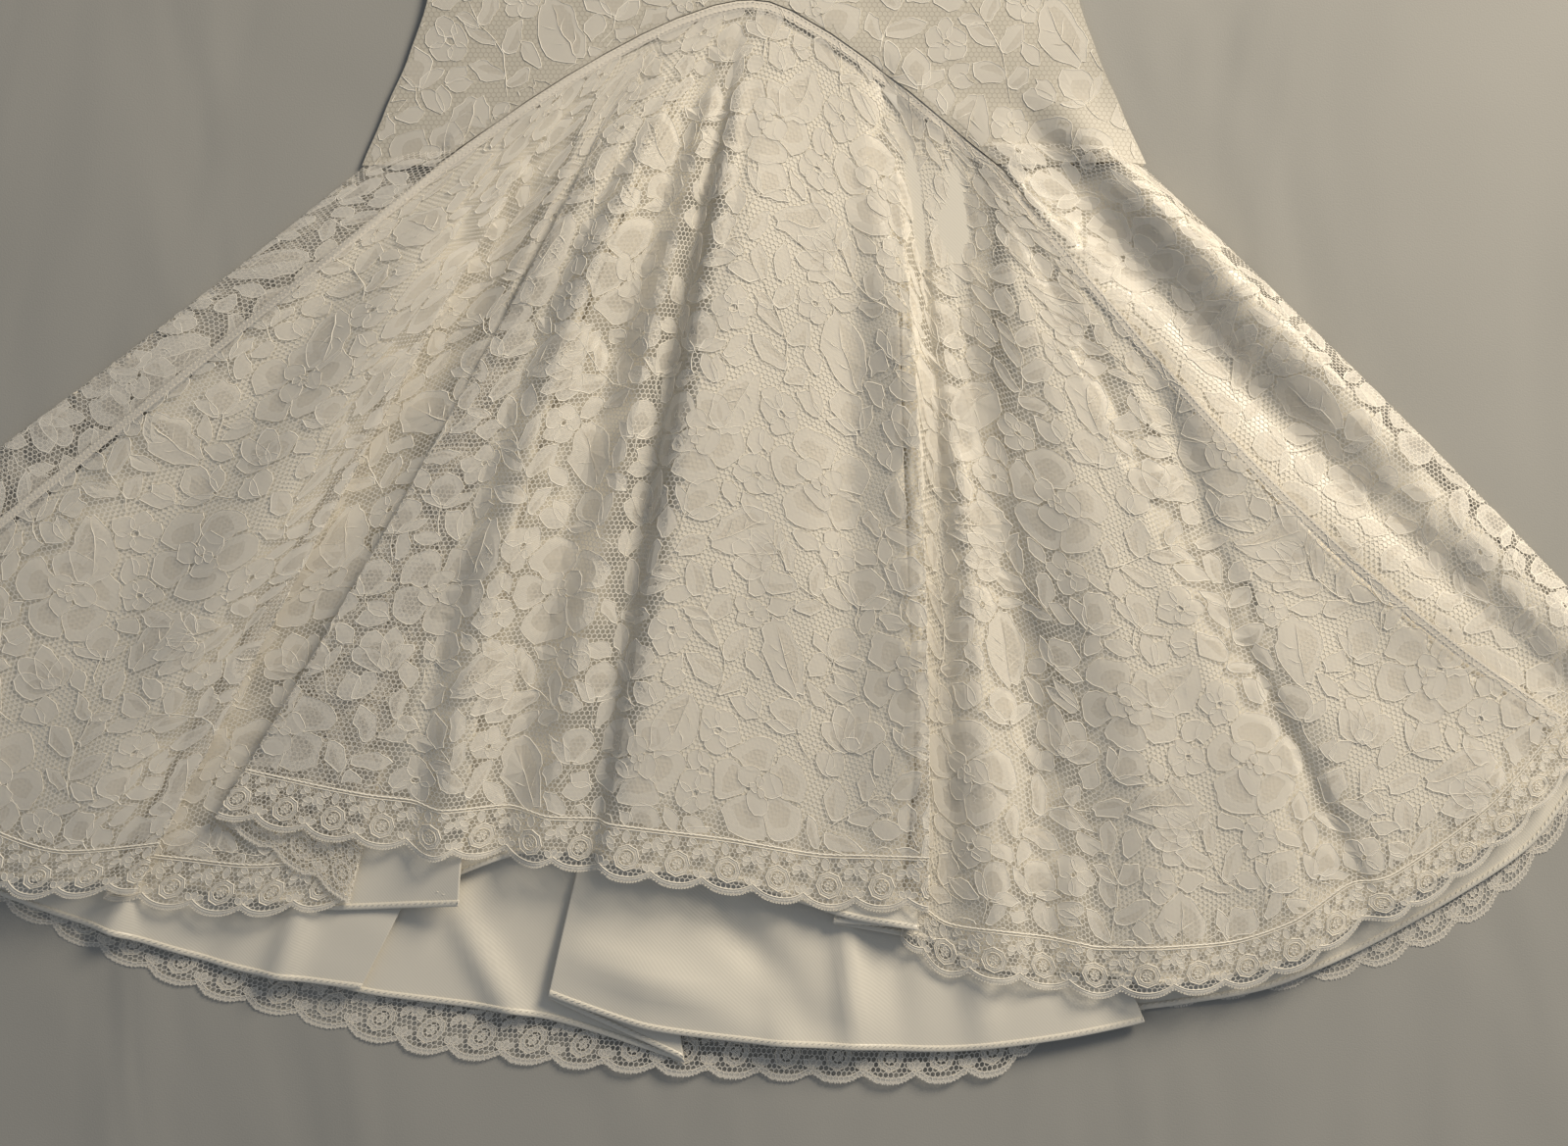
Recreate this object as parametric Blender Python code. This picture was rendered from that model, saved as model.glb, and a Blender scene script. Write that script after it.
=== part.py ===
"""Lace trumpet wedding dress, lying flat on its back.

The frame is in metres: +Z up from the surface that the dress lies on, +Y towards the neckline, +X to the
right of someone who looks down on its front. The sizes below are in millimetres, measured from the point of
the chevron seam, where the fitted front meets the fan of the flounce.
"""

import math
from collections import namedtuple

import bmesh
import bpy
from mathutils import Vector
from mathutils.bvhtree import BVHTree

MM = 0.001
SHIFT_X = 40.5  # from the chevron's point to the middle of the dress's width
SHIFT_Y = -76.0  # and to the middle of its length

# Cloth
LACE = 1.2  # wall of the lace
SATIN = 1.2  # wall of the satin lining
MOUNTED = 2.0  # lace mounted on satin, in the fitted part
SEAM_GAP = 0.3
EDGING_GAP = 1.2  # between lace and edging, which meet at a slant in the folds

# Fitted part
SHOULDER_Y = 880.0
NECK_FRONT_Y = 735.0
NECK_BACK_Y = 815.0
UNDERARM_Y = 660.0
SIDE_SEAM_Y = -110.0  # lower edge of the fitted part at the sides and all along the back
CHEVRON_LEFT = (286.0, 170.0, 1.35)  # half width, drop and roundness of the chevron's left leg
CHEVRON_RIGHT = (222.0, 165.0, 1.20)
CHEVRON_TIP = 15.0  # radius of its blunt point
BACK_Z = 1.0  # middle of the back's wall
FRONT_SIDE_Z = 3.3  # middle of the front's wall at the side seams
FRONT_LOFT = 3.5  # how much higher the front lies at its middle
CHEVRON_Z = 8.1  # and along the chevron seam
CHEVRON_RAMP = 45.0  # how far above the seam it starts to rise
CHEVRON_FULL = 0.74  # share of the chevron's half width out to which it stays at that height
BUST = (92.0, 650.0, 105.0, 7.0)  # x, y, radius and height of the soft fullness over each cup
BUST_FULL = 0.7  # share of the panel's width out to which the cup is full
# Shares of the way up at which a fitted panel has a row of points
FITTED_ROWS = (0, 0.06, 0.13, 0.2, 0.28, 0.36, 0.44, 0.51, 0.57, 0.63, 0.7, 0.8, 0.9, 1)
SETTLING = 8  # rounds in which a column's lower corner settles on the seam

# Zip
ZIP_WIDTH = 24.0
ZIP_BOTTOM_Y = 300.0
ZIP_TAPE = 1.0
ZIP_BELOW_NECK = 3.0

# Edging
SCALLOP = 35.0  # width of one scallop
SCALLOP_STEPS = 3
SCALLOP_DEPTH = 6.0
EDGING_WIDTH = 38.0

# Double seam
SEAM_WIDTH = 6.0
SEAM_WALL = 1.2
SEAM_CLEAR = 0.6
WELL_ABOVE = 100.0  # height from which the seam is let down on the cloth
SEAM_START = 1.0  # how far from the chevron's point each double seam starts

# Half width of the fitted part at each height
Width = namedtuple("Width", "y half")
WIDTHS = (
    Width(-150, 280),
    Width(SIDE_SEAM_Y, 263),
    Width(-75, 248),
    Width(-35, 231),
    Width(0, 219),
    Width(50, 212),
    Width(120, 219),
    Width(200, 238),
    Width(270, 248),
    Width(350, 235),
    Width(400, 209),
    Width(450, 182),
    Width(520, 190),
    Width(600, 216),
    Width(UNDERARM_Y, 228),
    Width(SHOULDER_Y, 228),
)

# Columns of a fitted panel, from the centre seam to the side, and the top edges that cut them off
Column = namedtuple("Column", "share front_top back_top")
COLUMNS = (
    Column(0.00, NECK_FRONT_Y, NECK_BACK_Y),
    Column(0.05, 736, 815),
    Column(0.12, 742, 818),
    Column(0.23, 772, 830),
    Column(0.33, SHOULDER_Y, SHOULDER_Y),
    Column(0.43, SHOULDER_Y - 2, SHOULDER_Y - 2),
    Column(0.53, SHOULDER_Y - 8, SHOULDER_Y - 8),
    Column(0.62, 765, 765),
    Column(0.72, 705, 705),
    Column(0.81, 680, 680),
    Column(0.90, 666, 666),
    Column(1.00, UNDERARM_Y, UNDERARM_Y),
)

# A row for each fold, from the left edge of the cloth to the right: where it starts on the seam, where it
# passes half way down, where it ends at the hem, and the height of the wall's middle at those three places.
# Where a hem turns back to the left, the cloth is lapped.
Fold = namedtuple("Fold", "name seam_x mid_x mid_y hem_x hem_y seam_z mid_z hem_z")
FRONT_LACE_FOLDS = (
    Fold("left seam", -212, -430, -287, -646, -460, 8.5, 9.4, 9.4),
    Fold("side ridge", -205, -410, -303, -607, -526, 8.5, 16.3, 15.8),
    Fold("side hollow", -192, -374, -322, -541, -582, 8.5, 12.8, 13.3),
    Fold("broad panel", -164, -319, -335, -475, -601, 8.5, 17.3, 16.8),
    Fold("first fold edge", -114, -264, -315, -411, -597, 8.5, 21.3, 20.6),
    Fold("first fold edge under", -112, -265, -316, -412, -598, 8.5, 18.0, 17.8),
    Fold("first fold turn", -108, -277, -320, -434, -601, 8.5, 16.0, 16.0),
    Fold("first fold turn under", -105, -276, -321, -433, -602, 8.5, 12.6, 12.7),
    Fold("first fold under", -101, -244, -318, -395, -609, 8.5, 11.4, 11.6),
    Fold("lower layer", -85, -217, -315, -343, -614, 8.5, 11.6, 11.8),
    Fold("lower layer edge", -76, -185, -308, -270, -607, 8.5, 12.2, 12.4),
    Fold("lower layer turn", -73, -186, -306, -271, -605, 8.5, 15.0, 15.0),
    Fold("second fold back", -67, -202, -284, -357, -549, 8.5, 16.2, 16.4),
    Fold("second fold edge", -64, -203, -282, -358, -547, 8.5, 19.2, 19.0),
    Fold("upper layer", -52, -187, -285, -306, -558, 8.5, 21.8, 20.8),
    Fold("upper layer end", -42, -168, -288, -258, -566, 8.5, 17.3, 18.3),
    Fold("dark crease", -32, -151, -288, -219, -570, 8.5, 13.3, 14.3),
    Fold("bright ridge", -22, -130, -292, -187, -576, 8.5, 24.8, 22.8),
    Fold("sheer valley", -16, -110, -292, -164, -574, 8.5, 13.8, 12.3),
    Fold("narrow ridge", -11, -93, -295, -131, -581, 8.5, 21.8, 20.8),
    Fold("brown valley", -5, -75, -295, -112, -583, 8.5, 12.3, 12.3),
    Fold("centre panel left", 2, -38, -295, -79, -587, 8.5, 21.8, 17.8),
    Fold("centre panel", 20, -3, -302, -16, -597, 8.5, 24.8, 21.3),
    Fold("centre panel right", 40, 35, -312, 40, -607, 8.5, 22.3, 20.8),
    Fold("grey trough", 67, 65, -321, 63, -609, 8.5, 13.8, 17.0),
    Fold("upright edge", 89, 112, -331, 116, -609, 8.5, 22.3, 22.6),
    Fold("upright edge under", 92, 112, -333, 115, -611, 8.5, 18.6, 14.6),
    Fold("upright turn", 95, 113, -343, 98, -627, 8.5, 15.0, 13.4),
    Fold("upright turn under", 98, 115, -350, 99, -630, 8.5, 12.8, 11.4),
    Fold("upright under", 101, 127, -361, 126, -653, 8.5, 11.4, 11.0),
    Fold("low ridge", 106, 143, -364, 162, -658, 8.5, 17.3, 17.3),
    Fold("deep valley", 111, 160, -368, 187, -663, 8.5, 11.6, 13.3),
    Fold("net ridge", 117, 176, -374, 209, -666, 8.5, 18.8, 17.8),
    Fold("net trough", 124, 197, -381, 226, -668, 8.5, 12.3, 13.8),
    Fold("gore ridge", 131, 225, -384, 262, -666, 8.5, 21.3, 20.8),
    Fold("right swell", 138, 245, -387, 317, -661, 8.5, 15.3, 15.8),
    Fold("right swell end", 144, 275, -387, 370, -645, 8.5, 19.8, 18.8),
    Fold("slit", 149, 296, -384, 409, -618, 8.5, 12.6, 13.3),
    Fold("slit ridge", 154, 319, -381, 433, -613, 8.5, 19.3, 18.3),
    Fold("right panel", 161, 350, -374, 509, -558, 8.5, 15.3, 15.3),
    Fold("right seam", 168, 374, -350, 567, -494, 8.5, 12.6, 12.6),
)
FRONT_SATIN_FOLDS = (
    Fold("left edge", -207, -423, -293, -640, -466, 5.0, 5.6, 5.6),
    Fold("side hollow", -190, -368, -325, -540, -575, 5.0, 9.4, 9.8),
    Fold("broad panel", -160, -312, -337, -471, -589, 5.0, 12.8, 12.6),
    Fold("under first fold", -118, -262, -328, -402, -592, 5.0, 8.8, 8.6),
    Fold("under lower layer", -85, -217, -315, -339, -601, 5.0, 8.6, 8.6),
    Fold("under upper layer", -52, -178, -301, -277, -609, 5.0, 9.6, 9.6),
    Fold("flap crease", -32, -148, -295, -226, -607, 5.0, 9.8, 12.4),
    Fold("flap edge", -22, -128, -298, -188, -605, 5.0, 16.3, 16.2),
    Fold("flap edge under", -19, -127, -299, -189, -604, 5.0, 13.8, 13.6),
    Fold("flap turn", -16, -132, -300, -210, -596, 5.0, 11.4, 11.2),
    Fold("flap turn under", -14, -131, -301, -209, -595, 5.0, 9.4, 9.1),
    Fold("sheer valley", -11, -95, -298, -138, -571, 5.0, 9.0, 8.8),
    Fold("brown valley", -5, -75, -295, -108, -571, 5.0, 8.6, 8.6),
    Fold("centre panel left", 7, -29, -298, -72, -579, 5.0, 16.3, 13.8),
    Fold("centre panel", 24, 1, -305, -13, -589, 5.0, 19.8, 16.8),
    Fold("centre panel right", 44, 37, -312, 35, -604, 5.0, 17.3, 16.3),
    Fold("grey trough", 67, 65, -321, 65, -614, 5.0, 10.4, 14.6),
    Fold("upright edge", 88, 101, -331, 110, -621, 5.0, 15.2, 18.8),
    Fold("upright edge under", 91, 101, -332, 109, -620, 5.0, 13.2, 16.6),
    Fold("upright turn", 94, 92, -335, 53, -617, 5.0, 11.2, 11.6),
    Fold("upright turn under", 97, 93, -337, 54, -618, 5.0, 9.2, 9.6),
    Fold("upright under", 100, 108, -341, 116, -630, 5.0, 8.4, 9.2),
    Fold("low ridge", 106, 143, -364, 152, -648, 5.0, 10.6, 11.2),
    Fold("deep valley", 112, 160, -368, 187, -651, 5.0, 8.4, 10.0),
    Fold("net trough", 121, 186, -378, 218, -651, 5.0, 8.4, 9.8),
    Fold("gore ridge", 131, 224, -384, 262, -658, 5.0, 16.3, 16.3),
    Fold("right swell", 139, 250, -387, 327, -651, 5.0, 11.0, 11.8),
    Fold("right swell end", 145, 277, -387, 375, -635, 5.0, 14.3, 14.3),
    Fold("slit", 150, 298, -384, 411, -612, 5.0, 8.6, 10.0),
    Fold("slit ridge", 155, 322, -381, 441, -597, 5.0, 13.3, 13.8),
    Fold("right panel", 161, 352, -373, 512, -550, 5.0, 9.2, 10.2),
    Fold("under side seam", 168, 370, -354, 560, -503, 5.0, 6.2, 6.4),
    Fold("under hollow", 205, 392, -332, 572, -488, 5.0, 5.0, 5.0),
    Fold("right edge", 242, 414, -304, 580, -482, 5.0, 5.0, 5.0),
)
BACK_SATIN_FOLDS = (
    Fold("left edge", -204, -426, -312, -632, -474, 2.1, 2.1, 2.1),
    Fold("left flat", -170, -385, -354, -574, -567, 2.1, 2.1, 2.2),
    Fold("left tip", -140, -316, -368, -505, -601, 2.1, 2.1, 2.4),
    Fold("left sweep", -110, -257, -374, -442, -622, 2.1, 2.1, 3.4),
    Fold("left swell", -70, -197, -381, -343, -651, 2.1, 3.2, 5.4),
    Fold("first lap edge", -32, -138, -394, -263, -662, 2.1, 6.6, 10.0),
    Fold("first lap edge under", -29, -136, -394, -264, -661, 2.1, 5.0, 8.0),
    Fold("first lap turn", -24, -140, -394, -282, -659, 2.1, 3.7, 6.4),
    Fold("first lap turn under", -21, -139, -394, -281, -660, 2.1, 2.1, 4.4),
    Fold("first lap under", -14, -122, -394, -254, -667, 2.1, 2.1, 4.0),
    Fold("lower layer", 0, -92, -394, -138, -683, 2.1, 2.1, 5.0),
    Fold("lower layer edge", 18, -56, -394, -46, -712, 2.1, 2.1, 5.8),
    Fold("lower layer turn", 21, -53, -394, -47, -710, 2.1, 3.5, 7.6),
    Fold("big panel back", 27, -68, -394, -136, -668, 2.1, 5.7, 9.6),
    Fold("big panel edge", 30, -66, -394, -137, -666, 2.1, 7.1, 11.6),
    Fold("big panel left", 42, -36, -394, -72, -688, 2.1, 6.2, 13.5),
    Fold("big panel crease", 55, -6, -394, -1, -698, 2.1, 3.0, 10.0),
    Fold("big panel ridge", 68, 20, -394, 28, -700, 2.1, 2.4, 13.0),
    Fold("big panel middle", 90, 73, -394, 126, -704, 2.1, 2.3, 9.6),
    Fold("big panel right", 112, 126, -394, 205, -696, 2.1, 4.4, 8.8),
    Fold("third lap edge", 128, 166, -388, 262, -684, 2.1, 6.6, 8.6),
    Fold("third lap edge under", 131, 168, -388, 261, -683, 2.1, 5.0, 6.6),
    Fold("third lap turn", 135, 164, -388, 243, -680, 2.1, 3.7, 5.4),
    Fold("third lap turn under", 138, 165, -388, 244, -679, 2.1, 2.1, 3.4),
    Fold("third lap under", 145, 187, -388, 285, -674, 2.1, 2.1, 2.8),
    Fold("right swell", 162, 251, -374, 350, -661, 2.1, 2.1, 4.8),
    Fold("right hollow", 185, 324, -354, 430, -626, 2.1, 2.1, 2.8),
    Fold("right sweep", 215, 380, -330, 522, -567, 2.1, 2.1, 3.4),
    Fold("right edge", 242, 412, -304, 572, -494, 2.1, 2.1, 2.1),
)
BACK_LACE_FOLDS = (
    Fold("left side seam", -210, -427, -290, -643, -464, 7.0, 7.0, 7.0),
    Fold("left gore", -238, -440, -273, -660, -444, 5.6, 7.2, 7.2),
    Fold("left edge", -261, -450, -259, -680, -425, 4.6, 5.4, 5.4),
    Fold("left edge low", -262, -451, -258, -681, -424, 1.8, 2.0, 2.0),
    Fold("left underside", -252, -444, -266, -671, -436, 0.6, 0.6, 0.6),
    Fold("left flat", -215, -405, -340, -636, -500, 0.6, 0.6, 0.6),
    Fold("left hem", -180, -360, -368, -574, -572, 0.6, 0.6, 0.6),
    Fold("left tip", -145, -310, -381, -508, -609, 0.6, 0.6, 0.6),
    Fold("left sweep", -110, -250, -388, -442, -641, 0.6, 0.6, 0.6),
    Fold("left swell", -75, -190, -394, -372, -668, 0.6, 0.6, 1.6),
    Fold("left ripple", -45, -138, -401, -300, -688, 0.6, 0.6, 0.6),
    Fold("middle rise", -20, -85, -401, -224, -708, 0.6, 0.6, 2.0),
    Fold("middle dip", 5, -39, -401, -145, -716, 0.6, 0.6, 2.2),
    Fold("middle swell", 30, 7, -401, -60, -722, 0.6, 0.6, 4.6),
    Fold("middle hollow", 55, 53, -401, 20, -726, 0.6, 0.6, 2.0),
    Fold("right rise", 80, 106, -401, 100, -728, 0.6, 0.6, 4.8),
    Fold("right end", 100, 150, -394, 168, -721, 0.6, 0.6, 4.0),
    Fold("right tuck", 115, 180, -388, 205, -690, 0.6, 0.6, 0.6),
    Fold("right flat", 135, 215, -381, 262, -680, 0.6, 0.6, 0.6),
    Fold("right hem", 165, 280, -374, 340, -668, 0.6, 0.6, 0.6),
    Fold("right sweep", 195, 330, -354, 420, -650, 0.6, 0.6, 0.6),
    Fold("right ripple", 225, 380, -330, 495, -612, 0.6, 0.6, 0.6),
    Fold("right corner", 245, 410, -305, 560, -540, 0.6, 0.6, 0.6),
    Fold("right underside", 252, 427, -287, 590, -468, 0.6, 0.6, 0.6),
    Fold("right edge low", 262, 438, -281, 601, -450, 1.8, 2.4, 2.4),
    Fold("right edge", 261, 437, -282, 600, -451, 4.6, 6.2, 6.2),
    Fold("right roll", 248, 426, -295, 594, -461, 6.2, 9.4, 9.2),
    Fold("right hollow", 205, 396, -329, 581, -479, 6.9, 7.2, 7.4),
    Fold("right side seam", 165, 371, -353, 566, -496, 7.0, 9.4, 9.6),
)

# Shares of the way from seam to hem at which each cloth has a row of points, and where its folds rise
Way = namedtuple("Way", "rows rise_by hem_from")
FRONT_LACE_WAY = Way((0, 0.09, 0.22, 0.4, 0.6, 0.8, 1), 0.3, 0.5)
FRONT_SATIN_WAY = Way((0, 0.1, 0.24, 0.45, 0.72, 1), 0.3, 0.5)
BACK_LACE_WAY = Way((0, 0.25, 0.55, 0.8, 0.9, 1), 0.15, 0.8)
BACK_SATIN_WAY = Way((0, 0.2, 0.33, 0.46, 0.64, 0.82, 1), 0.4, 0.8)

TENSION = 0.4  # how rounded the cloth runs from one fold to the next
BLUNT = 9.0  # folds closer than this at the hem make the edge of a lap
FINE_STEPS = 24  # steps from one fold to the next when the hem is measured
SHARPEST = 0.8  # keeps the wall's corners short where the cloth turns back on itself
SATIN_STEP = 20.0  # spacing of the satin's columns at its hem
SHARP_ANGLE = 50.0  # a turn sharper than this, in degrees, is shaded as an edge


def start_empty():
    """Removes what the scene holds and makes the collection of the dress."""
    for old in list(bpy.context.scene.objects):
        bpy.data.objects.remove(old, do_unlink=True)
    dress = bpy.data.collections.new("wedding_dress")
    bpy.context.scene.collection.children.link(dress)
    return dress


def cloth_material(name, colour, roughness):
    """A plain finish of one colour."""
    material = bpy.data.materials.new(name)
    material.use_nodes = True
    shader = material.node_tree.nodes["Principled BSDF"]
    shader.inputs["Base Color"].default_value = (*colour, 1.0)
    shader.inputs["Roughness"].default_value = roughness
    shader.inputs["Metallic"].default_value = 0.0
    return material


def smooth(share):
    """Rises from 0 to 1 with level ends."""
    share = min(max(share, 0.0), 1.0)
    return share * share * (3.0 - 2.0 * share)


def slope(before, after):
    """The slope of a curve that never swings past its points: level where they turn."""
    if before * after <= 0.0:
        return 0.0
    steepest = 3.0 * min(abs(before), abs(after))
    return math.copysign(min(TENSION * abs(before + after), steepest), before)


def between(rows, spot):
    """The numbers of a table at a spot between its rows, on a smooth curve through them."""
    first = min(int(spot), len(rows) - 2)
    share = spot - first
    four_rows = [rows[min(max(k, 0), len(rows) - 1)] for k in range(first - 1, first + 3)]
    values = []
    for before, here, after, beyond in zip(*four_rows):
        leave = slope(here - before, after - here)
        arrive = slope(after - here, beyond - after)
        turn = 3.0 * (after - here) - 2.0 * leave - arrive
        bend = 2.0 * (here - after) + leave + arrive
        values.append(here + share * (leave + share * (turn + share * bend)))
    return values


def half_width(y):
    """Half the width of the fitted part at a height."""
    for k, (low, high) in enumerate(zip(WIDTHS, WIDTHS[1:])):
        if y <= high.y or high is WIDTHS[-1]:
            share = min(max((y - low.y) / (high.y - low.y), 0.0), 1.0)
            return between([(w.half,) for w in WIDTHS], k + share)[0]
    return WIDTHS[-1].half


def chevron_curve(x):
    """The height of the chevron seam as it is drawn."""
    half, drop, roundness = CHEVRON_LEFT if x < 0 else CHEVRON_RIGHT
    along = math.hypot(x, CHEVRON_TIP) - CHEVRON_TIP
    leg = math.hypot(half, CHEVRON_TIP) - CHEVRON_TIP
    return -drop * (along / leg) ** roundness


def lower_corner(side, share):
    """Where a column of the fitted front meets its lower edge: the chevron, then straight out to the side."""
    x, y = 0.0, 0.0
    for _ in range(SETTLING):
        x = side * share * half_width(y)
        y = max(chevron_curve(x), SIDE_SEAM_Y)
    return x, y


LOWER_CORNERS = {side: [lower_corner(side, column.share) for column in COLUMNS] for side in (-1, 1)}


def chevron_y(x):
    """The height of the chevron seam as it is sewn, straight between the columns of the fitted front."""
    corners = LOWER_CORNERS[-1 if x < 0 else 1]
    for (x1, y1), (x2, y2) in zip(corners, corners[1:]):
        if abs(x) <= abs(x2) and y2 > SIDE_SEAM_Y:
            return y1 + (y2 - y1) * (x - x1) / (x2 - x1)
    return chevron_curve(x)


def satin_seam_y(x):
    """The upper edge of the front satin, which runs on under the strip of back lace on the right."""
    return max(chevron_y(x), SIDE_SEAM_Y)


def side_seam_y(x):
    """The upper edge of the flounce's back, the same at each x."""
    return SIDE_SEAM_Y - SEAM_GAP


def place(x, y, z):
    """A point in metres in the frame of the dress, from millimetres from the chevron's point."""
    return Vector(((x + SHIFT_X) * MM, (y + SHIFT_Y) * MM, z * MM))


def fold_point(folds, seam_y, way, column, share):
    """A point of a flounce's cloth in millimetres, some share of the way down between two folds.

    The way down is the parabola through the seam, the half-way point and the hem.
    """
    seam_x, mid_x, mid_y, hem_x, hem_y, seam_z, mid_z, hem_z = between(folds, column)
    upper = (1.0 - share) * (1.0 - 2.0 * share)
    middle = 4.0 * share * (1.0 - share)
    lower = share * (2.0 * share - 1.0)
    x = upper * seam_x + middle * mid_x + lower * hem_x
    y = upper * (seam_y(seam_x) - SEAM_GAP) + middle * mid_y + lower * hem_y
    z = seam_z + (mid_z - seam_z) * smooth(share / way.rise_by)
    z += (hem_z - mid_z) * smooth((share - way.hem_from) / (1.0 - way.hem_from))
    return Vector((x, y, max(z, LACE / 2.0)))


def numbers(folds):
    """The rows of a table of folds without their names."""
    return [fold[1:] for fold in folds]


def spaced(folds, seam_y, way, count):
    """Spots between the folds that divide the hem into equal lengths, with a pair at each blunt edge."""
    last = len(folds) - 1
    spots = [k / FINE_STEPS for k in range(last * FINE_STEPS + 1)]
    points = [fold_point(folds, seam_y, way, spot, 1.0) for spot in spots]
    lengths = [0.0]
    for a, b in zip(points, points[1:]):
        lengths.append(lengths[-1] + (b - a).length)
    steps = count(lengths[-1])
    wanted = [lengths[-1] * k / steps for k in range(steps + 1)]
    found = []
    k = 0
    for length in wanted:
        while k < len(lengths) - 2 and lengths[k + 1] < length:
            k += 1
        share = (length - lengths[k]) / (lengths[k + 1] - lengths[k])
        found.append(spots[k] + (spots[k + 1] - spots[k]) * share)
    for k in range(last):
        if (points[(k + 1) * FINE_STEPS] - points[k * FINE_STEPS]).length < BLUNT:
            at = sum(spot <= k + 0.5 for spot in found) - 1
            if found[at] == k - 1:
                at += 1
                found.insert(at, k)
            found[at : at + 2] = [k, k + 1]
    return found


def way_length(folds, seam_y, column):
    """The length of the cloth from seam to hem at a spot between two folds."""
    row = between(folds, column)
    return math.hypot(row[3] - row[0], row[4] - seam_y(row[0]))


def grid_normals(points):
    """The way out of the cloth at each point of a grid, long enough in a sharp turn to keep the wall even."""
    rows, columns = len(points), len(points[0])
    normals = []
    for j, row in enumerate(points):
        line = []
        for i in range(columns):
            down = points[min(j + 1, rows - 1)][i] - points[max(j - 1, 0)][i]
            left = down.cross(row[max(i, 1)] - row[max(i, 1) - 1]).normalized()
            right = down.cross(row[min(i + 1, columns - 1)] - row[min(i, columns - 2)]).normalized()
            line.append((left + right) / max(1.0 + left.dot(right), SHARPEST))
        normals.append(line)
    return normals


def add_cloth(name, points, wall, material, collection, normals=None):
    """A cloth with an even wall: a loft through a grid of points in millimetres, closed round its rim."""
    normals = normals or grid_normals(points)
    rows, columns = len(points), len(points[0])
    sheet = bmesh.new()
    sides = []
    for offset in (wall / 2.0, -wall / 2.0):
        side = [
            [sheet.verts.new(place(*(point + normal * offset))) for point, normal in zip(line, ways_out)]
            for line, ways_out in zip(points, normals)
        ]
        sides.append(side)
    top, under = sides
    for row in range(rows - 1):
        for column in range(columns - 1):
            a, b = (row, column), (row + 1, column)
            c, d = (row + 1, column + 1), (row, column + 1)
            for corners in ((a, b, c), (a, c, d)):
                sheet.faces.new([top[j][i] for j, i in corners])
                sheet.faces.new([under[j][i] for j, i in reversed(corners)])
    rim = [(row, 0) for row in range(rows)] + [(rows - 1, i) for i in range(1, columns)]
    rim += [(row, columns - 1) for row in reversed(range(rows - 1))]
    rim += [(0, column) for column in reversed(range(1, columns - 1))]
    for here, after in zip(rim, rim[1:] + rim[:1]):
        (j, i), (m, n) = here, after
        sheet.faces.new((top[j][i], under[j][i], under[m][n]))
        sheet.faces.new((top[j][i], under[m][n], top[m][n]))
    mesh = bpy.data.meshes.new(name)
    sheet.to_mesh(mesh)
    sheet.free()
    mesh.materials.append(material)
    mesh.shade_smooth()
    mesh.set_sharp_from_angle(angle=math.radians(SHARP_ANGLE))
    cloth = bpy.data.objects.new(name, mesh)
    collection.objects.link(cloth)
    return cloth


def scallop_lift(k):
    """How far the edge runs up from the scallops' lowest points at a column."""
    return SCALLOP_DEPTH if k % SCALLOP_STEPS == 0 else 0.0


def add_lace(name, edging_name, folds, seam_y, way, material, edging_material, collection):
    """A flounce of lace and the scalloped edging sewn to its hem, from one table of folds."""
    folds = numbers(folds)

    def in_scallops(length):
        return round(length / SCALLOP) * SCALLOP_STEPS

    columns = spaced(folds, seam_y, way, in_scallops)
    lace_rows = []
    for share in way.rows:
        row = []
        for column in columns:
            length = way_length(folds, seam_y, column)
            sewn = 1.0 - (EDGING_WIDTH + EDGING_GAP / 2.0) / length
            row.append(fold_point(folds, seam_y, way, column, share * sewn))
        lace_rows.append(row)
    edging_rows = [[], []]
    for k, column in enumerate(columns):
        length = way_length(folds, seam_y, column)
        sewn = 1.0 - (EDGING_WIDTH - EDGING_GAP / 2.0) / length
        edge = 1.0 - scallop_lift(k) / length
        edging_rows[0].append(fold_point(folds, seam_y, way, column, sewn))
        edging_rows[1].append(fold_point(folds, seam_y, way, column, edge))
    normals = grid_normals(lace_rows + edging_rows)
    sewn_at = len(lace_rows)
    lace = add_cloth(name, lace_rows, LACE, material, collection, normals[:sewn_at])
    add_cloth(edging_name, edging_rows, LACE, edging_material, collection, normals[sewn_at:])
    return lace, lace_rows


def add_satin(name, folds, seam_y, way, material, collection):
    """A flounce of satin lining."""
    folds = numbers(folds)
    columns = spaced(folds, seam_y, way, lambda length: round(length / SATIN_STEP))
    points = [[fold_point(folds, seam_y, way, c, share) for c in columns] for share in way.rows]
    return add_cloth(name, points, SATIN, material, collection)


def front_height(side, x, y, lower, share):
    """The height of the fitted front: low at the side seam, full over the bust, up at the chevron."""
    loft = FRONT_LOFT * (1.0 - share * share)
    bust_x, bust_y, bust_radius, bust_height = BUST
    away = math.hypot(abs(x) - bust_x, y - bust_y) / bust_radius
    loft += bust_height * (1.0 - smooth(away)) * (1.0 - smooth((share - BUST_FULL) / (1.0 - BUST_FULL)))
    full = CHEVRON_FULL * (CHEVRON_LEFT[0] if side < 0 else CHEVRON_RIGHT[0])
    reach = 1.0 - smooth((abs(x) - full) / (half_width(y) - full))
    ramp = 1.0 - smooth((y - lower) / CHEVRON_RAMP)
    height = FRONT_SIDE_Z + loft
    return height + (CHEVRON_Z - height) * ramp * reach


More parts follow.
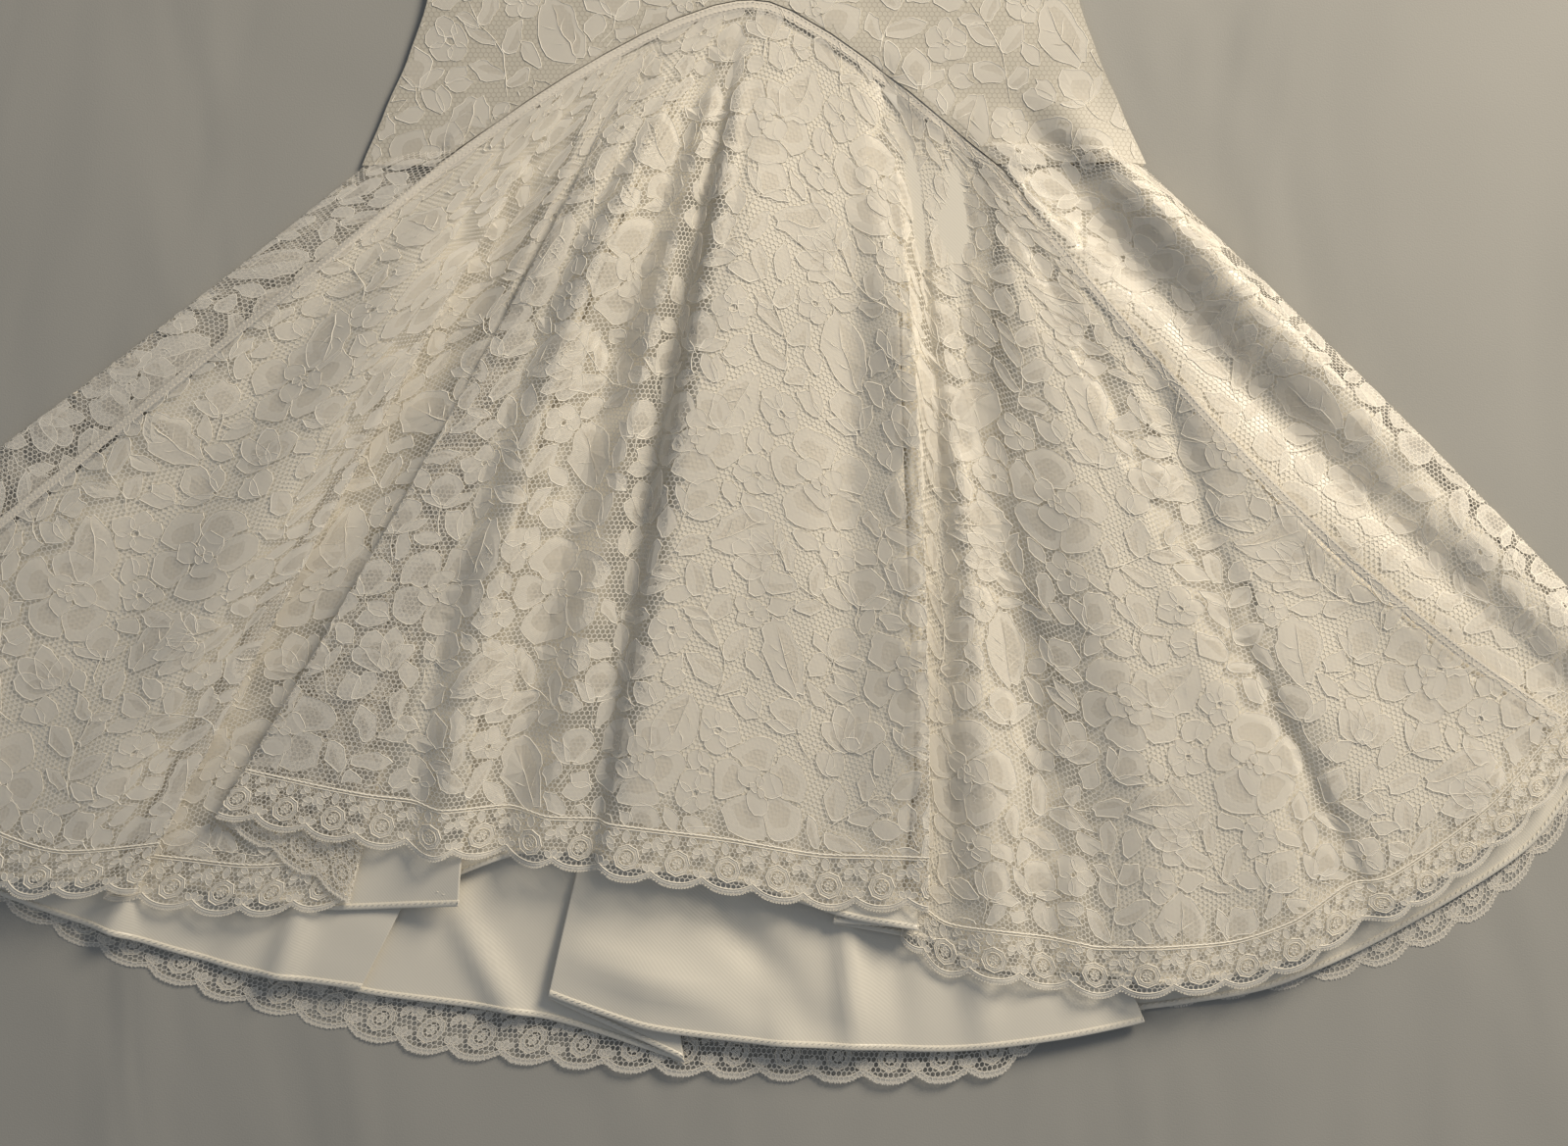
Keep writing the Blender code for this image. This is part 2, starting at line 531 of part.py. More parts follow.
def fitted_points(side, is_front):
    """The grid of one fitted panel, from its lower edge to its top edge and from centre to side."""
    grid = []
    for up in FITTED_ROWS:
        line = []
        for column in COLUMNS:
            lower = lower_corner(side, column.share)[1] if is_front else SIDE_SEAM_Y
            top = column.front_top if is_front else column.back_top
            y = lower + (top - lower) * up
            x = side * max(column.share * half_width(y), SEAM_GAP / 2.0)
            z = front_height(side, x, y, lower, column.share) if is_front else BACK_Z
            line.append(Vector((x, y, z)))
        grid.append(line)
    return grid


def add_zip(material, collection):
    """The tape of the concealed zip, flat on the inside of the back."""
    left, right = -ZIP_WIDTH / 2.0, ZIP_WIDTH / 2.0
    z = BACK_Z + MOUNTED / 2.0 + SEAM_GAP + ZIP_TAPE / 2.0
    ends = (ZIP_BOTTOM_Y, NECK_BACK_Y - ZIP_BELOW_NECK)
    points = [[Vector((left, y, z)), Vector((right, y, z))] for y in ends]
    return add_cloth("back_zip", points, ZIP_TAPE, material, collection)


def wall_tree(cloth):
    """A search tree of a cloth's wall."""
    corners = [corner.co for corner in cloth.data.vertices]
    faces = [face.vertices for face in cloth.data.polygons]
    return BVHTree.FromPolygons(corners, faces)


def top_z(tree, x, y):
    """The height in millimetres of the uppermost wall at a place in the plan."""
    above = place(x, y, WELL_ABOVE)
    hit = tree.ray_cast(above, Vector((0.0, 0.0, -1.0)))[0]
    return hit.z / MM if hit else 0.0


def add_double_seam(name, border, inward, tree, material, collection):
    """The raised seam along a border: a narrow strip that lies on the cloth inside it."""
    rows = [[], []]
    border = [point for point in border if abs(point.x) > SEAM_START]
    for k, point in enumerate(border):
        before, after = border[max(k - 1, 0)], border[min(k + 1, len(border) - 1)]
        along = (after - before).to_2d().normalized()
        across = Vector((-along.y, along.x)) * inward
        for row, distance in zip(rows, (SEAM_GAP, SEAM_GAP + SEAM_WIDTH)):
            spot = point.to_2d() + across * distance
            under = max(top_z(tree, *spot), top_z(tree, *(spot + across)), point.z + LACE / 2.0)
            row.append(Vector((spot.x, spot.y, under + SEAM_CLEAR + SEAM_WALL / 2.0)))
    return add_cloth(name, rows, SEAM_WALL, material, collection)


def build():
    """Makes every piece of the dress."""
    dress = start_empty()
    ivory_lace = cloth_material("ivory lace", (0.80, 0.76, 0.66), 0.8)
    edging_lace = cloth_material("edging lace", (0.82, 0.78, 0.69), 0.8)
    ivory_satin = cloth_material("ivory satin", (0.84, 0.79, 0.68), 0.35)
    mounted = cloth_material("lace on satin", (0.83, 0.79, 0.70), 0.7)
    seam_cloth = cloth_material("seam of lace", (0.80, 0.75, 0.64), 0.8)
    tape = cloth_material("zip tape", (0.80, 0.77, 0.70), 0.6)

    for side, word in ((-1, "left"), (1, "right")):
        add_cloth(f"front_{word}", fitted_points(side, True), MOUNTED, mounted, dress)
        add_cloth(f"back_{word}", fitted_points(side, False), MOUNTED, mounted, dress)
    add_zip(tape, dress)

    front, front_rows = add_lace("flounce_front_lace", "front_edging", FRONT_LACE_FOLDS, chevron_y,
                                 FRONT_LACE_WAY, ivory_lace, edging_lace, dress)
    add_satin("flounce_front_lining", FRONT_SATIN_FOLDS, satin_seam_y, FRONT_SATIN_WAY,
              ivory_satin, dress)
    add_satin("flounce_back_lining", BACK_SATIN_FOLDS, side_seam_y, BACK_SATIN_WAY,
              ivory_satin, dress)
    add_lace("flounce_back_lace", "back_edging", BACK_LACE_FOLDS, side_seam_y, BACK_LACE_WAY,
             ivory_lace, edging_lace, dress)

    tree = wall_tree(front)
    top_row = front_rows[0]
    middle = min(range(len(top_row)), key=lambda k: abs(top_row[k].x))
    left_border = list(reversed(top_row[: middle + 1])) + [row[0] for row in front_rows[1:]]
    right_border = top_row[middle:] + [row[-1] for row in front_rows[1:]]
    add_double_seam("seam_left", left_border, 1.0, tree, seam_cloth, dress)
    add_double_seam("seam_right", right_border, -1.0, tree, seam_cloth, dress)


build()
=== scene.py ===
# %% [markdown]
# # A lace wedding dress, laid flat
#
# The photo is a close look at the lower half of an ivory trumpet dress: a fitted part of lace mounted on
# satin, and below an upside-down V of a seam a wide fan-shaped flounce of loose lace over satin, longer at
# the back. The whole dress lies on its back on a pale sheet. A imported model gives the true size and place
# of each piece, and this script makes the cloth that is seen: thin sheets with folds, net with real holes,
# flowers and leaves with outline cords, rolled hems with stitches, and light.

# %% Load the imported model
import math
import random
from collections import namedtuple

import bpy
import numpy as np
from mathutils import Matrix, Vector
from mathutils.bvhtree import BVHTree
from mathutils.kdtree import KDTree


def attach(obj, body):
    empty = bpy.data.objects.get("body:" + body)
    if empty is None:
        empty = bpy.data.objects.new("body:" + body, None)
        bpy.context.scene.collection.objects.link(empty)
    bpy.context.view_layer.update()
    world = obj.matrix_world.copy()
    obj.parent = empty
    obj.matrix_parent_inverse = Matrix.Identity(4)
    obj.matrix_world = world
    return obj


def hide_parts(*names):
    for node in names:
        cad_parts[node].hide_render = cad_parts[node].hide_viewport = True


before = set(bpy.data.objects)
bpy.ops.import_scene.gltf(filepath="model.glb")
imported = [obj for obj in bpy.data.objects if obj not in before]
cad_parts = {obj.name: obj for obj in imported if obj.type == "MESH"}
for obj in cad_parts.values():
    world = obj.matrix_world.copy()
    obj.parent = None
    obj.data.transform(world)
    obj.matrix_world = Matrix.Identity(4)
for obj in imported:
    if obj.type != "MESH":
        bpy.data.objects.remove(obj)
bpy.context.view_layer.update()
print("packed pieces:", len(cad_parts))

# %% [markdown]
# ## Sizes in millimetres
#
# Cloth is easier to think of in millimetres, measured from one point that is easy to find in the photo:
# the point of the V-shaped seam. X runs to the right, Y up towards the neck and Z up from the sheet. One
# function turns such a point into the metres that Blender works in, with the middle of the dress at X 0
# and Y 0.

# %% Millimetres from the point of the seam
MM = 0.001
SHIFT = np.array((40.5, -76.0, 0.0))  # where the seam's point lies, from the middle of the whole dress


def in_metres(points):
    """Points in millimetres from the seam's point, as metres in the frame of the dress."""
    return (np.asarray(points, float) + SHIFT) * MM


# %% [markdown]
# ## Camera
#
# The photo was taken from straight above, with the dress's point near the top edge. In such a view a
# width in the picture is a width on the dress, so the camera's height and focal length follow from the
# 1056 mm of dress that cross the picture.

# %% Look straight down, framed as in the photo
VIEW_WIDTH = 1056.0
VIEW_MIDDLE = (20.5, -383.8)
CAMERA_HEIGHT = 1500.0
SENSOR = 36.0


def new_object(name, data):
    """An object of the scene that shows some data."""
    made = bpy.data.objects.new(name, data)
    bpy.context.scene.collection.objects.link(made)
    return made


camera_data = bpy.data.cameras.new("camera")
camera_data.sensor_width = SENSOR
camera_data.lens = SENSOR * CAMERA_HEIGHT / VIEW_WIDTH
camera = new_object("camera", camera_data)
camera.location = in_metres((*VIEW_MIDDLE, CAMERA_HEIGHT))
bpy.context.scene.camera = camera
print("lens", round(camera_data.lens, 1), "mm")

# %% [markdown]
# ## Colours and nodes
#
# Colours are picked as the hex values of a screen, which aren't in proportion to light. One function turns
# them into the linear numbers that the shaders take. Another adds a node to any tree: it sets the node's
# own settings, and fills each input with a value or with a link from another node. Every cloth here has a
# small relief of threads, and some have two tones, so those are functions too.

# %% Small helpers for every material and node tree
SHEEN_ROUGHNESS = 0.4


def linear(code):
    """The linear colour of an sRGB hex code, with alpha 1."""
    parts = [int(code[k : k + 2], 16) / 255.0 for k in (0, 2, 4)]
    return (*[p / 12.92 if p <= 0.04045 else ((p + 0.055) / 1.055) ** 2.4 for p in parts], 1.0)


def add(tree, kind, settings=None, inputs=None):
    """Adds a node, sets it, and fills its inputs with values or links."""
    node = tree.nodes.new(kind)
    for key, value in (settings or {}).items():
        setattr(node, key, value)
    for key, value in (inputs or {}).items():
        if isinstance(value, bpy.types.NodeSocket):
            tree.links.new(value, node.inputs[key])
        else:
            node.inputs[key].default_value = value
    return node


def new_material(name, colour, roughness, sheen=0.0):
    """A material with its colour, roughness and sheen on the shader's own sockets."""
    material = bpy.data.materials.new(name)
    material.use_nodes = True
    shader = material.node_tree.nodes["Principled BSDF"]
    shader.inputs["Base Color"].default_value = linear(colour)
    shader.inputs["Roughness"].default_value = roughness
    shader.inputs["Sheen Weight"].default_value = sheen
    shader.inputs["Sheen Roughness"].default_value = SHEEN_ROUGHNESS
    return material, material.node_tree, shader


def give_relief(tree, shader, height, strength, distance, below=None):
    """Shades bumps of some height in metres, on top of the normal of another bump node if there is one."""
    inputs = {"Strength": strength, "Distance": distance, "Height": height}
    if below is not None:
        inputs["Normal"] = below
    bump = add(tree, "ShaderNodeBump", None, inputs)
    tree.links.new(bump.outputs[0], shader.inputs["Normal"])


def give_tones(tree, shader, share, first, second):
    """Colours a material with two hex colours, mixed by a share from 0 to 1."""
    mix = add(tree, "ShaderNodeMix", {"data_type": "RGBA"}, {0: share, 6: linear(first), 7: linear(second)})
    tree.links.new(mix.outputs[2], shader.inputs["Base Color"])


# %% [markdown]
# ## The sheet on the table and the light
#
# The dress lies on a plain grey-beige sheet. Warm soft light comes from the upper right, so each fold's
# shadow falls to its left and down, and the picture is brightest on the right. A large lamp gives soft
# edges, a low one long shadows: this one is wide and fairly low. A dim, slightly cool world fills in.

# %% Floor, lamp and world
FLOOR_SIZE = 7.0
FLOOR_TONE = "a29f97"

bpy.ops.mesh.primitive_grid_add(x_subdivisions=2, y_subdivisions=2, size=FLOOR_SIZE)
floor = bpy.context.object
floor.name = "floor"
sheet_cloth, tree, shader = new_material("plain cotton sheet", FLOOR_TONE, 0.9, 0.2)
spot = add(tree, "ShaderNodeTexCoord").outputs["Object"]
cloudy = add(tree, "ShaderNodeTexNoise", None, {"Vector": spot, "Scale": 5.0, "Detail": 2.0})
give_tones(tree, shader, cloudy.outputs[0], "9b9991", "a9a69d")
grain = add(tree, "ShaderNodeTexNoise", None, {"Vector": spot, "Scale": 900.0, "Detail": 1.0})
stretched = add(tree, "ShaderNodeVectorMath", {"operation": "MULTIPLY"}, {
    0: spot, 1: (3.2, 1.1, 1.0)}).outputs[0]
swell = add(tree, "ShaderNodeTexNoise", None, {
    "Vector": stretched, "Scale": 2.0, "Detail": 2.0, "Distortion": 0.8})
soft = add(tree, "ShaderNodeBump", None, {"Strength": 0.35, "Distance": 0.02, "Height": swell.outputs[0]})
give_relief(tree, shader, grain.outputs[0], 0.15, 0.0006, soft.outputs[0])
floor.data.materials.append(sheet_cloth)

LAMP_PLACE = (1.60, 1.12, 1.20)
LAMP_AIM = (0.15, -0.20, 0.0)
lamp_data = bpy.data.lights.new("key", "AREA")
lamp_data.energy = 72.0
lamp_data.size = 0.9
lamp_data.color = (1.0, 0.9, 0.76)
lamp = new_object("key", lamp_data)
lamp.location = LAMP_PLACE
lamp.rotation_euler = (Vector(LAMP_AIM) - Vector(LAMP_PLACE)).to_track_quat("-Z", "Y").to_euler()

world = bpy.data.worlds.new("room")
world.use_nodes = True
room = world.node_tree.nodes["Background"]
room.inputs["Color"].default_value = linear("dde6f5")
room.inputs["Strength"].default_value = 0.29
bpy.context.scene.world = world
bpy.context.scene.view_settings.view_transform = "Standard"
print("lamp", lamp_data.energy, "W, world", room.inputs["Strength"].default_value)

# %% [markdown]
# ## Net with real holes
#
# The ground of the lace is cotton net, twisted threads that leave six-sided holes 3.5 mm across. Modelled
# thread by thread it would take a million faces, and drawn as colour it wouldn't let the satin show
# through. So it is an alpha pattern: for each point the nodes find the nearest centre of two interleaved
# grids and how near the point is to the edge of that centre's hexagon. Near the edge is thread, the rest
# is a hole. The pattern reads the cloth's own flat cut, so it bends and turns with the folds.

# %% The thread mask of a six-sided net
UV_SPAN = 2000.0  # millimetres of flat cloth across the whole UV square
FLAT_MAP = "flat"  # the name of the UV map that holds a cloth's flat cut
NET_CELL = 3.5


def net_mask(tree, cell, thread, soft=0.03):
    """1 on the threads of a six-sided net and 0 in its holes."""
    def vector(operation, one, two=(0.0, 0.0, 0.0), result=0):
        return add(tree, "ShaderNodeVectorMath", {"operation": operation}, {0: one, 1: two}).outputs[result]

    uv = add(tree, "ShaderNodeUVMap", {"uv_map": FLAT_MAP}).outputs[0]
    size = UV_SPAN / cell
    spot = vector("MULTIPLY", uv, (size, size, 0.0))
    pitch, half = (1.0, math.sqrt(3.0), 1.0), (0.5, math.sqrt(3.0) / 2.0, 0.0)
    offsets = []
    for start in ((0.0, 0.0, 0.0), half):
        inside = vector("MODULO", vector("SUBTRACT", spot, start), pitch)
        offsets.append(vector("SUBTRACT", inside, half))
    lengths = [vector("LENGTH", offset, result=1) for offset in offsets]
    nearer = add(tree, "ShaderNodeMath", {"operation": "LESS_THAN"}, {
        0: lengths[0], 1: lengths[1]}).outputs[0]
    near = add(tree, "ShaderNodeMix", {"data_type": "VECTOR"}, {
        0: nearer, 4: offsets[1], 5: offsets[0]}).outputs[1]
    mirrored = vector("ABSOLUTE", near)
    across = add(tree, "ShaderNodeSeparateXYZ", None, {0: mirrored}).outputs[0]
    slant = vector("DOT_PRODUCT", mirrored, half, 1)
    out = add(tree, "ShaderNodeMath", {"operation": "MAXIMUM"}, {0: across, 1: slant}).outputs[0]
    edge = 0.5 - thread / cell / 2.0
    return add(tree, "ShaderNodeMapRange", {"clamp": True}, {
        0: out, 1: edge - soft, 2: edge + soft}).outputs[0]


# Cotton net: matte twisted thread, so a rough surface with a little fuzz; alpha is 0 in its holes.
net_lace, tree, shader = new_material("cotton net", "e8e1d2", 0.85, 0.15)
tree.links.new(net_mask(tree, NET_CELL, 0.5), shader.inputs["Alpha"])
print("net cell", NET_CELL, "mm")

# %% [markdown]
# ## The three finishes of the lacework, and satin
#
# The flowers are woven in three ways: raised cords round their outlines, clothwork where threads lie
# closely side by side, and a close net in the hearts of the petals. All are the same matte cotton, so
# colour, fuzz, a small relief and how much shows through tell them apart. The lining is satin, whose long
# floating threads make it smooth: a lower roughness gives its soft broad sheen.

# %% Cord, clothwork, close net and satin
cord_thread, tree, shader = new_material("cotton outline cord", "ebe4d4", 0.8, 0.2)

clothwork, tree, shader = new_material("cotton clothwork", "f4eee0", 0.88, 0.2)
shader.inputs["Alpha"].default_value = 0.5
spot = add(tree, "ShaderNodeTexCoord").outputs["Object"]
ribs = add(tree, "ShaderNodeTexWave", {"bands_direction": "DIAGONAL"}, {
    "Vector": spot, "Scale": 420.0, "Distortion": 4.0})
give_relief(tree, shader, ribs.outputs["Fac"], 0.2, 0.0003)

close_net, tree, shader = new_material("cotton close net", "e7e0d2", 0.85, 0.15)
shader.inputs["Alpha"].default_value = 0.4
spot = add(tree, "ShaderNodeTexCoord").outputs["Object"]
dots = add(tree, "ShaderNodeTexVoronoi", None, {"Vector": spot, "Scale": 420.0, "Randomness": 0.35})
give_tones(tree, shader, dots.outputs[0], "e4dccc", "f0eadd")
give_relief(tree, shader, dots.outputs[0], 0.3, 0.0004)

# Polyester satin: the long threads of its face give a low roughness and a soft broad sheen.
satin, tree, shader = new_material("polyester satin", "e1dac9", 0.33, 0.2)
spot = add(tree, "ShaderNodeTexCoord").outputs["Object"]
weave = add(tree, "ShaderNodeTexWave", {"bands_direction": "DIAGONAL"}, {"Vector": spot, "Scale": 260.0})
give_relief(tree, shader, weave.outputs["Fac"], 0.12, 0.0003)

# The fitted part's ground is the same net, mounted close on satin, so its holes show satin, not air. Both
# tones are painted shade: darker than the loose net and satin, for the shade that the net casts on the satin.
# The threads are darker than the holes: their painted shadow on the satin, and the satin's painted sheen
# between them.
mounted, tree, shader = new_material("net on satin", "cbc4b3", 0.6, 0.2)
threads = net_mask(tree, NET_CELL, 0.62, 0.06)
give_tones(tree, shader, threads, "c6bfae", "b2aa99")
give_relief(tree, shader, threads, 0.25, 0.0003)
FINISHES = (cord_thread, clothwork, close_net)
print("finishes:", [m.name for m in FINISHES] + [satin.name, mounted.name])

# %% [markdown]
# ## How a fold is described
#
# A flounce is a fan: narrow where it is sewn on, wide at its hem, and it falls in folds between the two.
# Each fold runs like a spoke, so one row of a table can hold it: where it starts on the seam, where it
# passes half way down, where it ends at the hem, and how high it lies at those places. A smooth curve
# from row to row gives the cloth between them. Where a hem turns back to the left, the cloth is lapped:
# its edge, the turn under it and the layer below are rows of their own. The rows are those of the packed
# model, so the thin cloth lies about where the solid pieces are. Some were set again here to match the
# photo's light and dark, by up to 21 mm in the plan and 8 mm in height, and the front satin has one row
# more, its first valley.

# %% The tables of folds
Fold = namedtuple("Fold", "name seam_x mid_x mid_y hem_x hem_y seam_z mid_z hem_z")
FRONT_LACE_FOLDS = (
    Fold("left seam", -212, -430, -287, -646, -460, 8.5, 9.4, 9.4),
    Fold("side ridge", -205, -410, -303, -607, -526, 8.5, 16.3, 15.8),
    Fold("side hollow", -192, -374, -322, -541, -582, 8.5, 12.8, 13.3),
    Fold("broad panel", -164, -319, -335, -475, -601, 8.5, 22.6, 20.8),
    Fold("first fold edge", -114, -264, -315, -411, -597, 8.5, 19.8, 19.6),
    Fold("first fold edge under", -112, -265, -316, -412, -598, 8.5, 17.6, 17.6),
    Fold("first fold turn", -108, -277, -320, -434, -601, 8.5, 16.0, 16.0),
    Fold("first fold turn under", -105, -276, -321, -433, -602, 8.5, 12.6, 12.7),
    Fold("first fold under", -101, -248, -318, -395, -609, 8.5, 11.6, 11.6),
    Fold("lower layer", -85, -217, -315, -343, -614, 8.5, 15.4, 14.2),
    Fold("lower layer edge", -76, -185, -308, -270, -607, 8.5, 13.0, 13.0),
    Fold("lower layer turn", -73, -186, -306, -271, -605, 8.5, 15.0, 15.0),
    Fold("second fold back", -67, -202, -284, -357, -549, 8.5, 16.2, 16.4),
    Fold("second fold edge", -64, -203, -282, -358, -547, 8.5, 17.9, 17.9),
    Fold("upper layer", -52, -190, -285, -306, -558, 8.5, 19.2, 18.9),
    Fold("upper layer end", -42, -182, -288, -262, -566, 8.5, 18.4, 18.2),
    Fold("dark crease", -32, -168, -289, -230, -570, 8.5, 17.2, 16.8),
    Fold("bright ridge", -22, -147, -292, -208, -576, 8.5, 24.8, 23.4),
    Fold("sheer valley", -16, -106, -292, -171, -574, 8.5, 12.0, 11.6),
    Fold("narrow ridge", -11, -83, -295, -142, -581, 8.5, 22.0, 21.2),
    Fold("brown valley", -5, -63, -295, -109, -583, 8.5, 13.0, 18.6),
    Fold("centre panel left", 2, -48, -295, -96, -587, 8.5, 26.6, 25.4),
    Fold("centre panel", 20, -3, -302, -20, -597, 8.5, 21.6, 20.4),
    Fold("centre panel right", 40, 35, -312, 36, -607, 8.5, 17.2, 16.2),
    Fold("grey trough", 67, 65, -321, 63, -609, 8.5, 13.8, 17.0),
    Fold("upright edge", 89, 112, -331, 116, -609, 8.5, 22.3, 22.6),
    Fold("upright edge under", 92, 112, -333, 115, -611, 8.5, 18.6, 14.6),
    Fold("upright turn", 95, 113, -343, 98, -627, 8.5, 15.0, 13.4),
    Fold("upright turn under", 98, 115, -350, 99, -630, 8.5, 12.8, 11.4),
    Fold("upright under", 101, 127, -361, 126, -653, 8.5, 11.4, 11.0),
    Fold("low ridge", 106, 143, -364, 166, -658, 8.5, 18.6, 18.2),
    Fold("deep valley", 111, 168, -368, 200, -663, 8.5, 10.8, 11.6),
    Fold("net ridge", 117, 186, -374, 220, -666, 8.5, 15.8, 15.2),
    Fold("net trough", 124, 202, -381, 234, -668, 8.5, 13.3, 13.8),
    Fold("gore ridge", 131, 236, -384, 276, -666, 8.5, 19.6, 19.2),
    Fold("right swell", 138, 262, -387, 326, -661, 8.5, 17.0, 16.6),
    Fold("right swell end", 144, 275, -387, 370, -645, 8.5, 18.2, 17.6),
    Fold("slit", 149, 296, -384, 409, -618, 8.5, 16.2, 15.6),
    Fold("slit ridge", 154, 319, -381, 433, -613, 8.5, 18.2, 17.6),
    Fold("right panel", 161, 350, -374, 509, -558, 8.5, 15.3, 15.3),
    Fold("right seam", 168, 374, -350, 567, -494, 8.5, 12.6, 12.6),
)
FRONT_SATIN_FOLDS = (
    Fold("left edge", -207, -423, -293, -640, -466, 5.0, 5.6, 5.6),
    Fold("side hollow", -190, -368, -325, -540, -575, 5.0, 9.4, 9.8),
    Fold("broad panel", -160, -312, -337, -471, -589, 5.0, 15.8, 14.8),
    Fold("under first fold", -118, -262, -328, -402, -592, 5.0, 3.8, 4.0),
    Fold("first valley", -102, -238, -322, -374, -597, 5.0, 3.8, 4.0),
    Fold("under lower layer", -86, -216, -316, -342, -601, 5.0, 11.0, 10.8),
    Fold("under upper layer", -52, -178, -301, -277, -609, 5.0, 9.6, 9.6),
    Fold("flap crease", -32, -163, -295, -230, -607, 5.0, 9.8, 12.4),
    Fold("flap edge", -22, -143, -298, -196, -605, 5.0, 16.3, 16.2),
    Fold("flap edge under", -19, -142, -299, -197, -604, 5.0, 13.8, 13.6),
    Fold("flap turn", -16, -147, -300, -218, -596, 5.0, 11.4, 11.2),
    Fold("flap turn under", -14, -146, -301, -217, -595, 5.0, 9.4, 9.1),
    Fold("sheer valley", -11, -103, -298, -150, -571, 5.0, 8.4, 8.4),
    Fold("brown valley", -5, -62, -295, -106, -571, 5.0, 8.8, 13.6),
    Fold("centre panel left", 5, -42, -298, -88, -579, 5.0, 19.8, 18.6),
    Fold("centre panel", 24, 1, -305, -13, -589, 5.0, 16.8, 14.8),
    Fold("centre panel right", 44, 37, -312, 33, -604, 5.0, 13.0, 12.4),
    Fold("grey trough", 67, 65, -321, 65, -614, 5.0, 10.4, 14.6),
    Fold("upright edge", 88, 101, -331, 110, -621, 5.0, 15.2, 18.8),
    Fold("upright edge under", 91, 101, -332, 109, -620, 5.0, 13.2, 16.6),
    Fold("upright turn", 94, 92, -335, 53, -617, 5.0, 11.2, 11.6),
    Fold("upright turn under", 97, 93, -337, 54, -618, 5.0, 9.2, 9.6),
    Fold("upright under", 100, 108, -341, 116, -630, 5.0, 8.4, 9.2),
    Fold("low ridge", 106, 143, -364, 152, -648, 5.0, 10.6, 11.2),
    Fold("deep valley", 112, 168, -368, 200, -651, 5.0, 7.4, 8.2),
    Fold("net trough", 121, 196, -378, 228, -651, 5.0, 9.4, 10.2),
    Fold("gore ridge", 131, 231, -384, 269, -658, 5.0, 16.3, 16.3),
    Fold("right swell", 139, 250, -387, 327, -651, 5.0, 11.0, 11.8),
    Fold("right swell end", 145, 277, -387, 375, -635, 5.0, 14.3, 14.3),
    Fold("slit", 150, 298, -384, 411, -612, 5.0, 10.6, 10.8),
    Fold("slit ridge", 155, 322, -381, 441, -597, 5.0, 13.3, 13.8),
    Fold("right panel", 161, 352, -373, 512, -550, 5.0, 9.2, 10.2),
    Fold("under side seam", 168, 370, -354, 560, -503, 5.0, 6.2, 6.4),
    Fold("under hollow", 205, 396, -329, 577, -483, 5.0, 5.0, 5.0),
    Fold("right edge", 254, 428, -292, 592, -468, 5.0, 5.0, 5.0),
)
BACK_SATIN_FOLDS = (
    Fold("left edge", -204, -426, -312, -632, -474, 2.1, 2.1, 2.1),
    Fold("left flat", -170, -385, -354, -574, -567, 2.1, 2.1, 2.2),
    Fold("left tip", -140, -316, -368, -505, -601, 2.1, 2.1, 2.4),
    Fold("left sweep", -110, -257, -374, -442, -622, 2.1, 2.1, 3.4),
    Fold("left swell", -70, -197, -381, -343, -651, 2.1, 3.2, 5.4),
    Fold("first lap edge", -32, -138, -394, -263, -662, 2.1, 6.6, 10.0),
    Fold("first lap edge under", -29, -136, -394, -264, -661, 2.1, 5.0, 8.0),
    Fold("first lap turn", -24, -140, -394, -282, -659, 2.1, 3.7, 6.4),
    Fold("first lap turn under", -21, -139, -394, -281, -660, 2.1, 2.1, 4.4),
    Fold("first lap under", -14, -122, -394, -254, -667, 2.1, 2.1, 4.0),
    Fold("lower layer", 0, -92, -394, -138, -683, 2.1, 2.1, 5.0),
    Fold("lower layer edge", 18, -56, -394, -46, -712, 2.1, 2.1, 5.8),
    Fold("lower layer turn", 21, -53, -394, -47, -710, 2.1, 3.5, 7.6),
    Fold("big panel back", 27, -68, -394, -136, -668, 2.1, 5.7, 9.6),
    Fold("big panel edge", 30, -66, -394, -137, -666, 2.1, 7.1, 11.6),
    Fold("big panel left", 42, -36, -394, -72, -688, 2.1, 6.2, 13.5),
    Fold("big panel crease", 55, -6, -394, -1, -698, 2.1, 3.0, 10.0),
    Fold("big panel ridge", 68, 20, -394, 28, -700, 2.1, 2.4, 13.0),
    Fold("big panel middle", 90, 73, -394, 126, -704, 2.1, 2.3, 9.6),
    Fold("big panel right", 112, 126, -394, 205, -696, 2.1, 4.4, 8.8),
    Fold("third lap edge", 128, 166, -388, 262, -684, 2.1, 6.6, 8.6),
    Fold("third lap edge under", 131, 168, -388, 261, -683, 2.1, 5.0, 6.6),
    Fold("third lap turn", 135, 164, -388, 243, -680, 2.1, 3.7, 5.4),
    Fold("third lap turn under", 138, 165, -388, 244, -679, 2.1, 2.1, 3.4),
    Fold("third lap under", 145, 187, -388, 285, -674, 2.1, 2.1, 2.8),
    Fold("right swell", 162, 251, -374, 350, -661, 2.1, 2.1, 4.8),
    Fold("right hollow", 185, 324, -354, 430, -626, 2.1, 2.1, 2.8),
    Fold("right sweep", 215, 380, -330, 522, -567, 2.1, 2.1, 3.4),
    Fold("right edge", 242, 412, -304, 572, -494, 2.1, 2.1, 2.1),
)
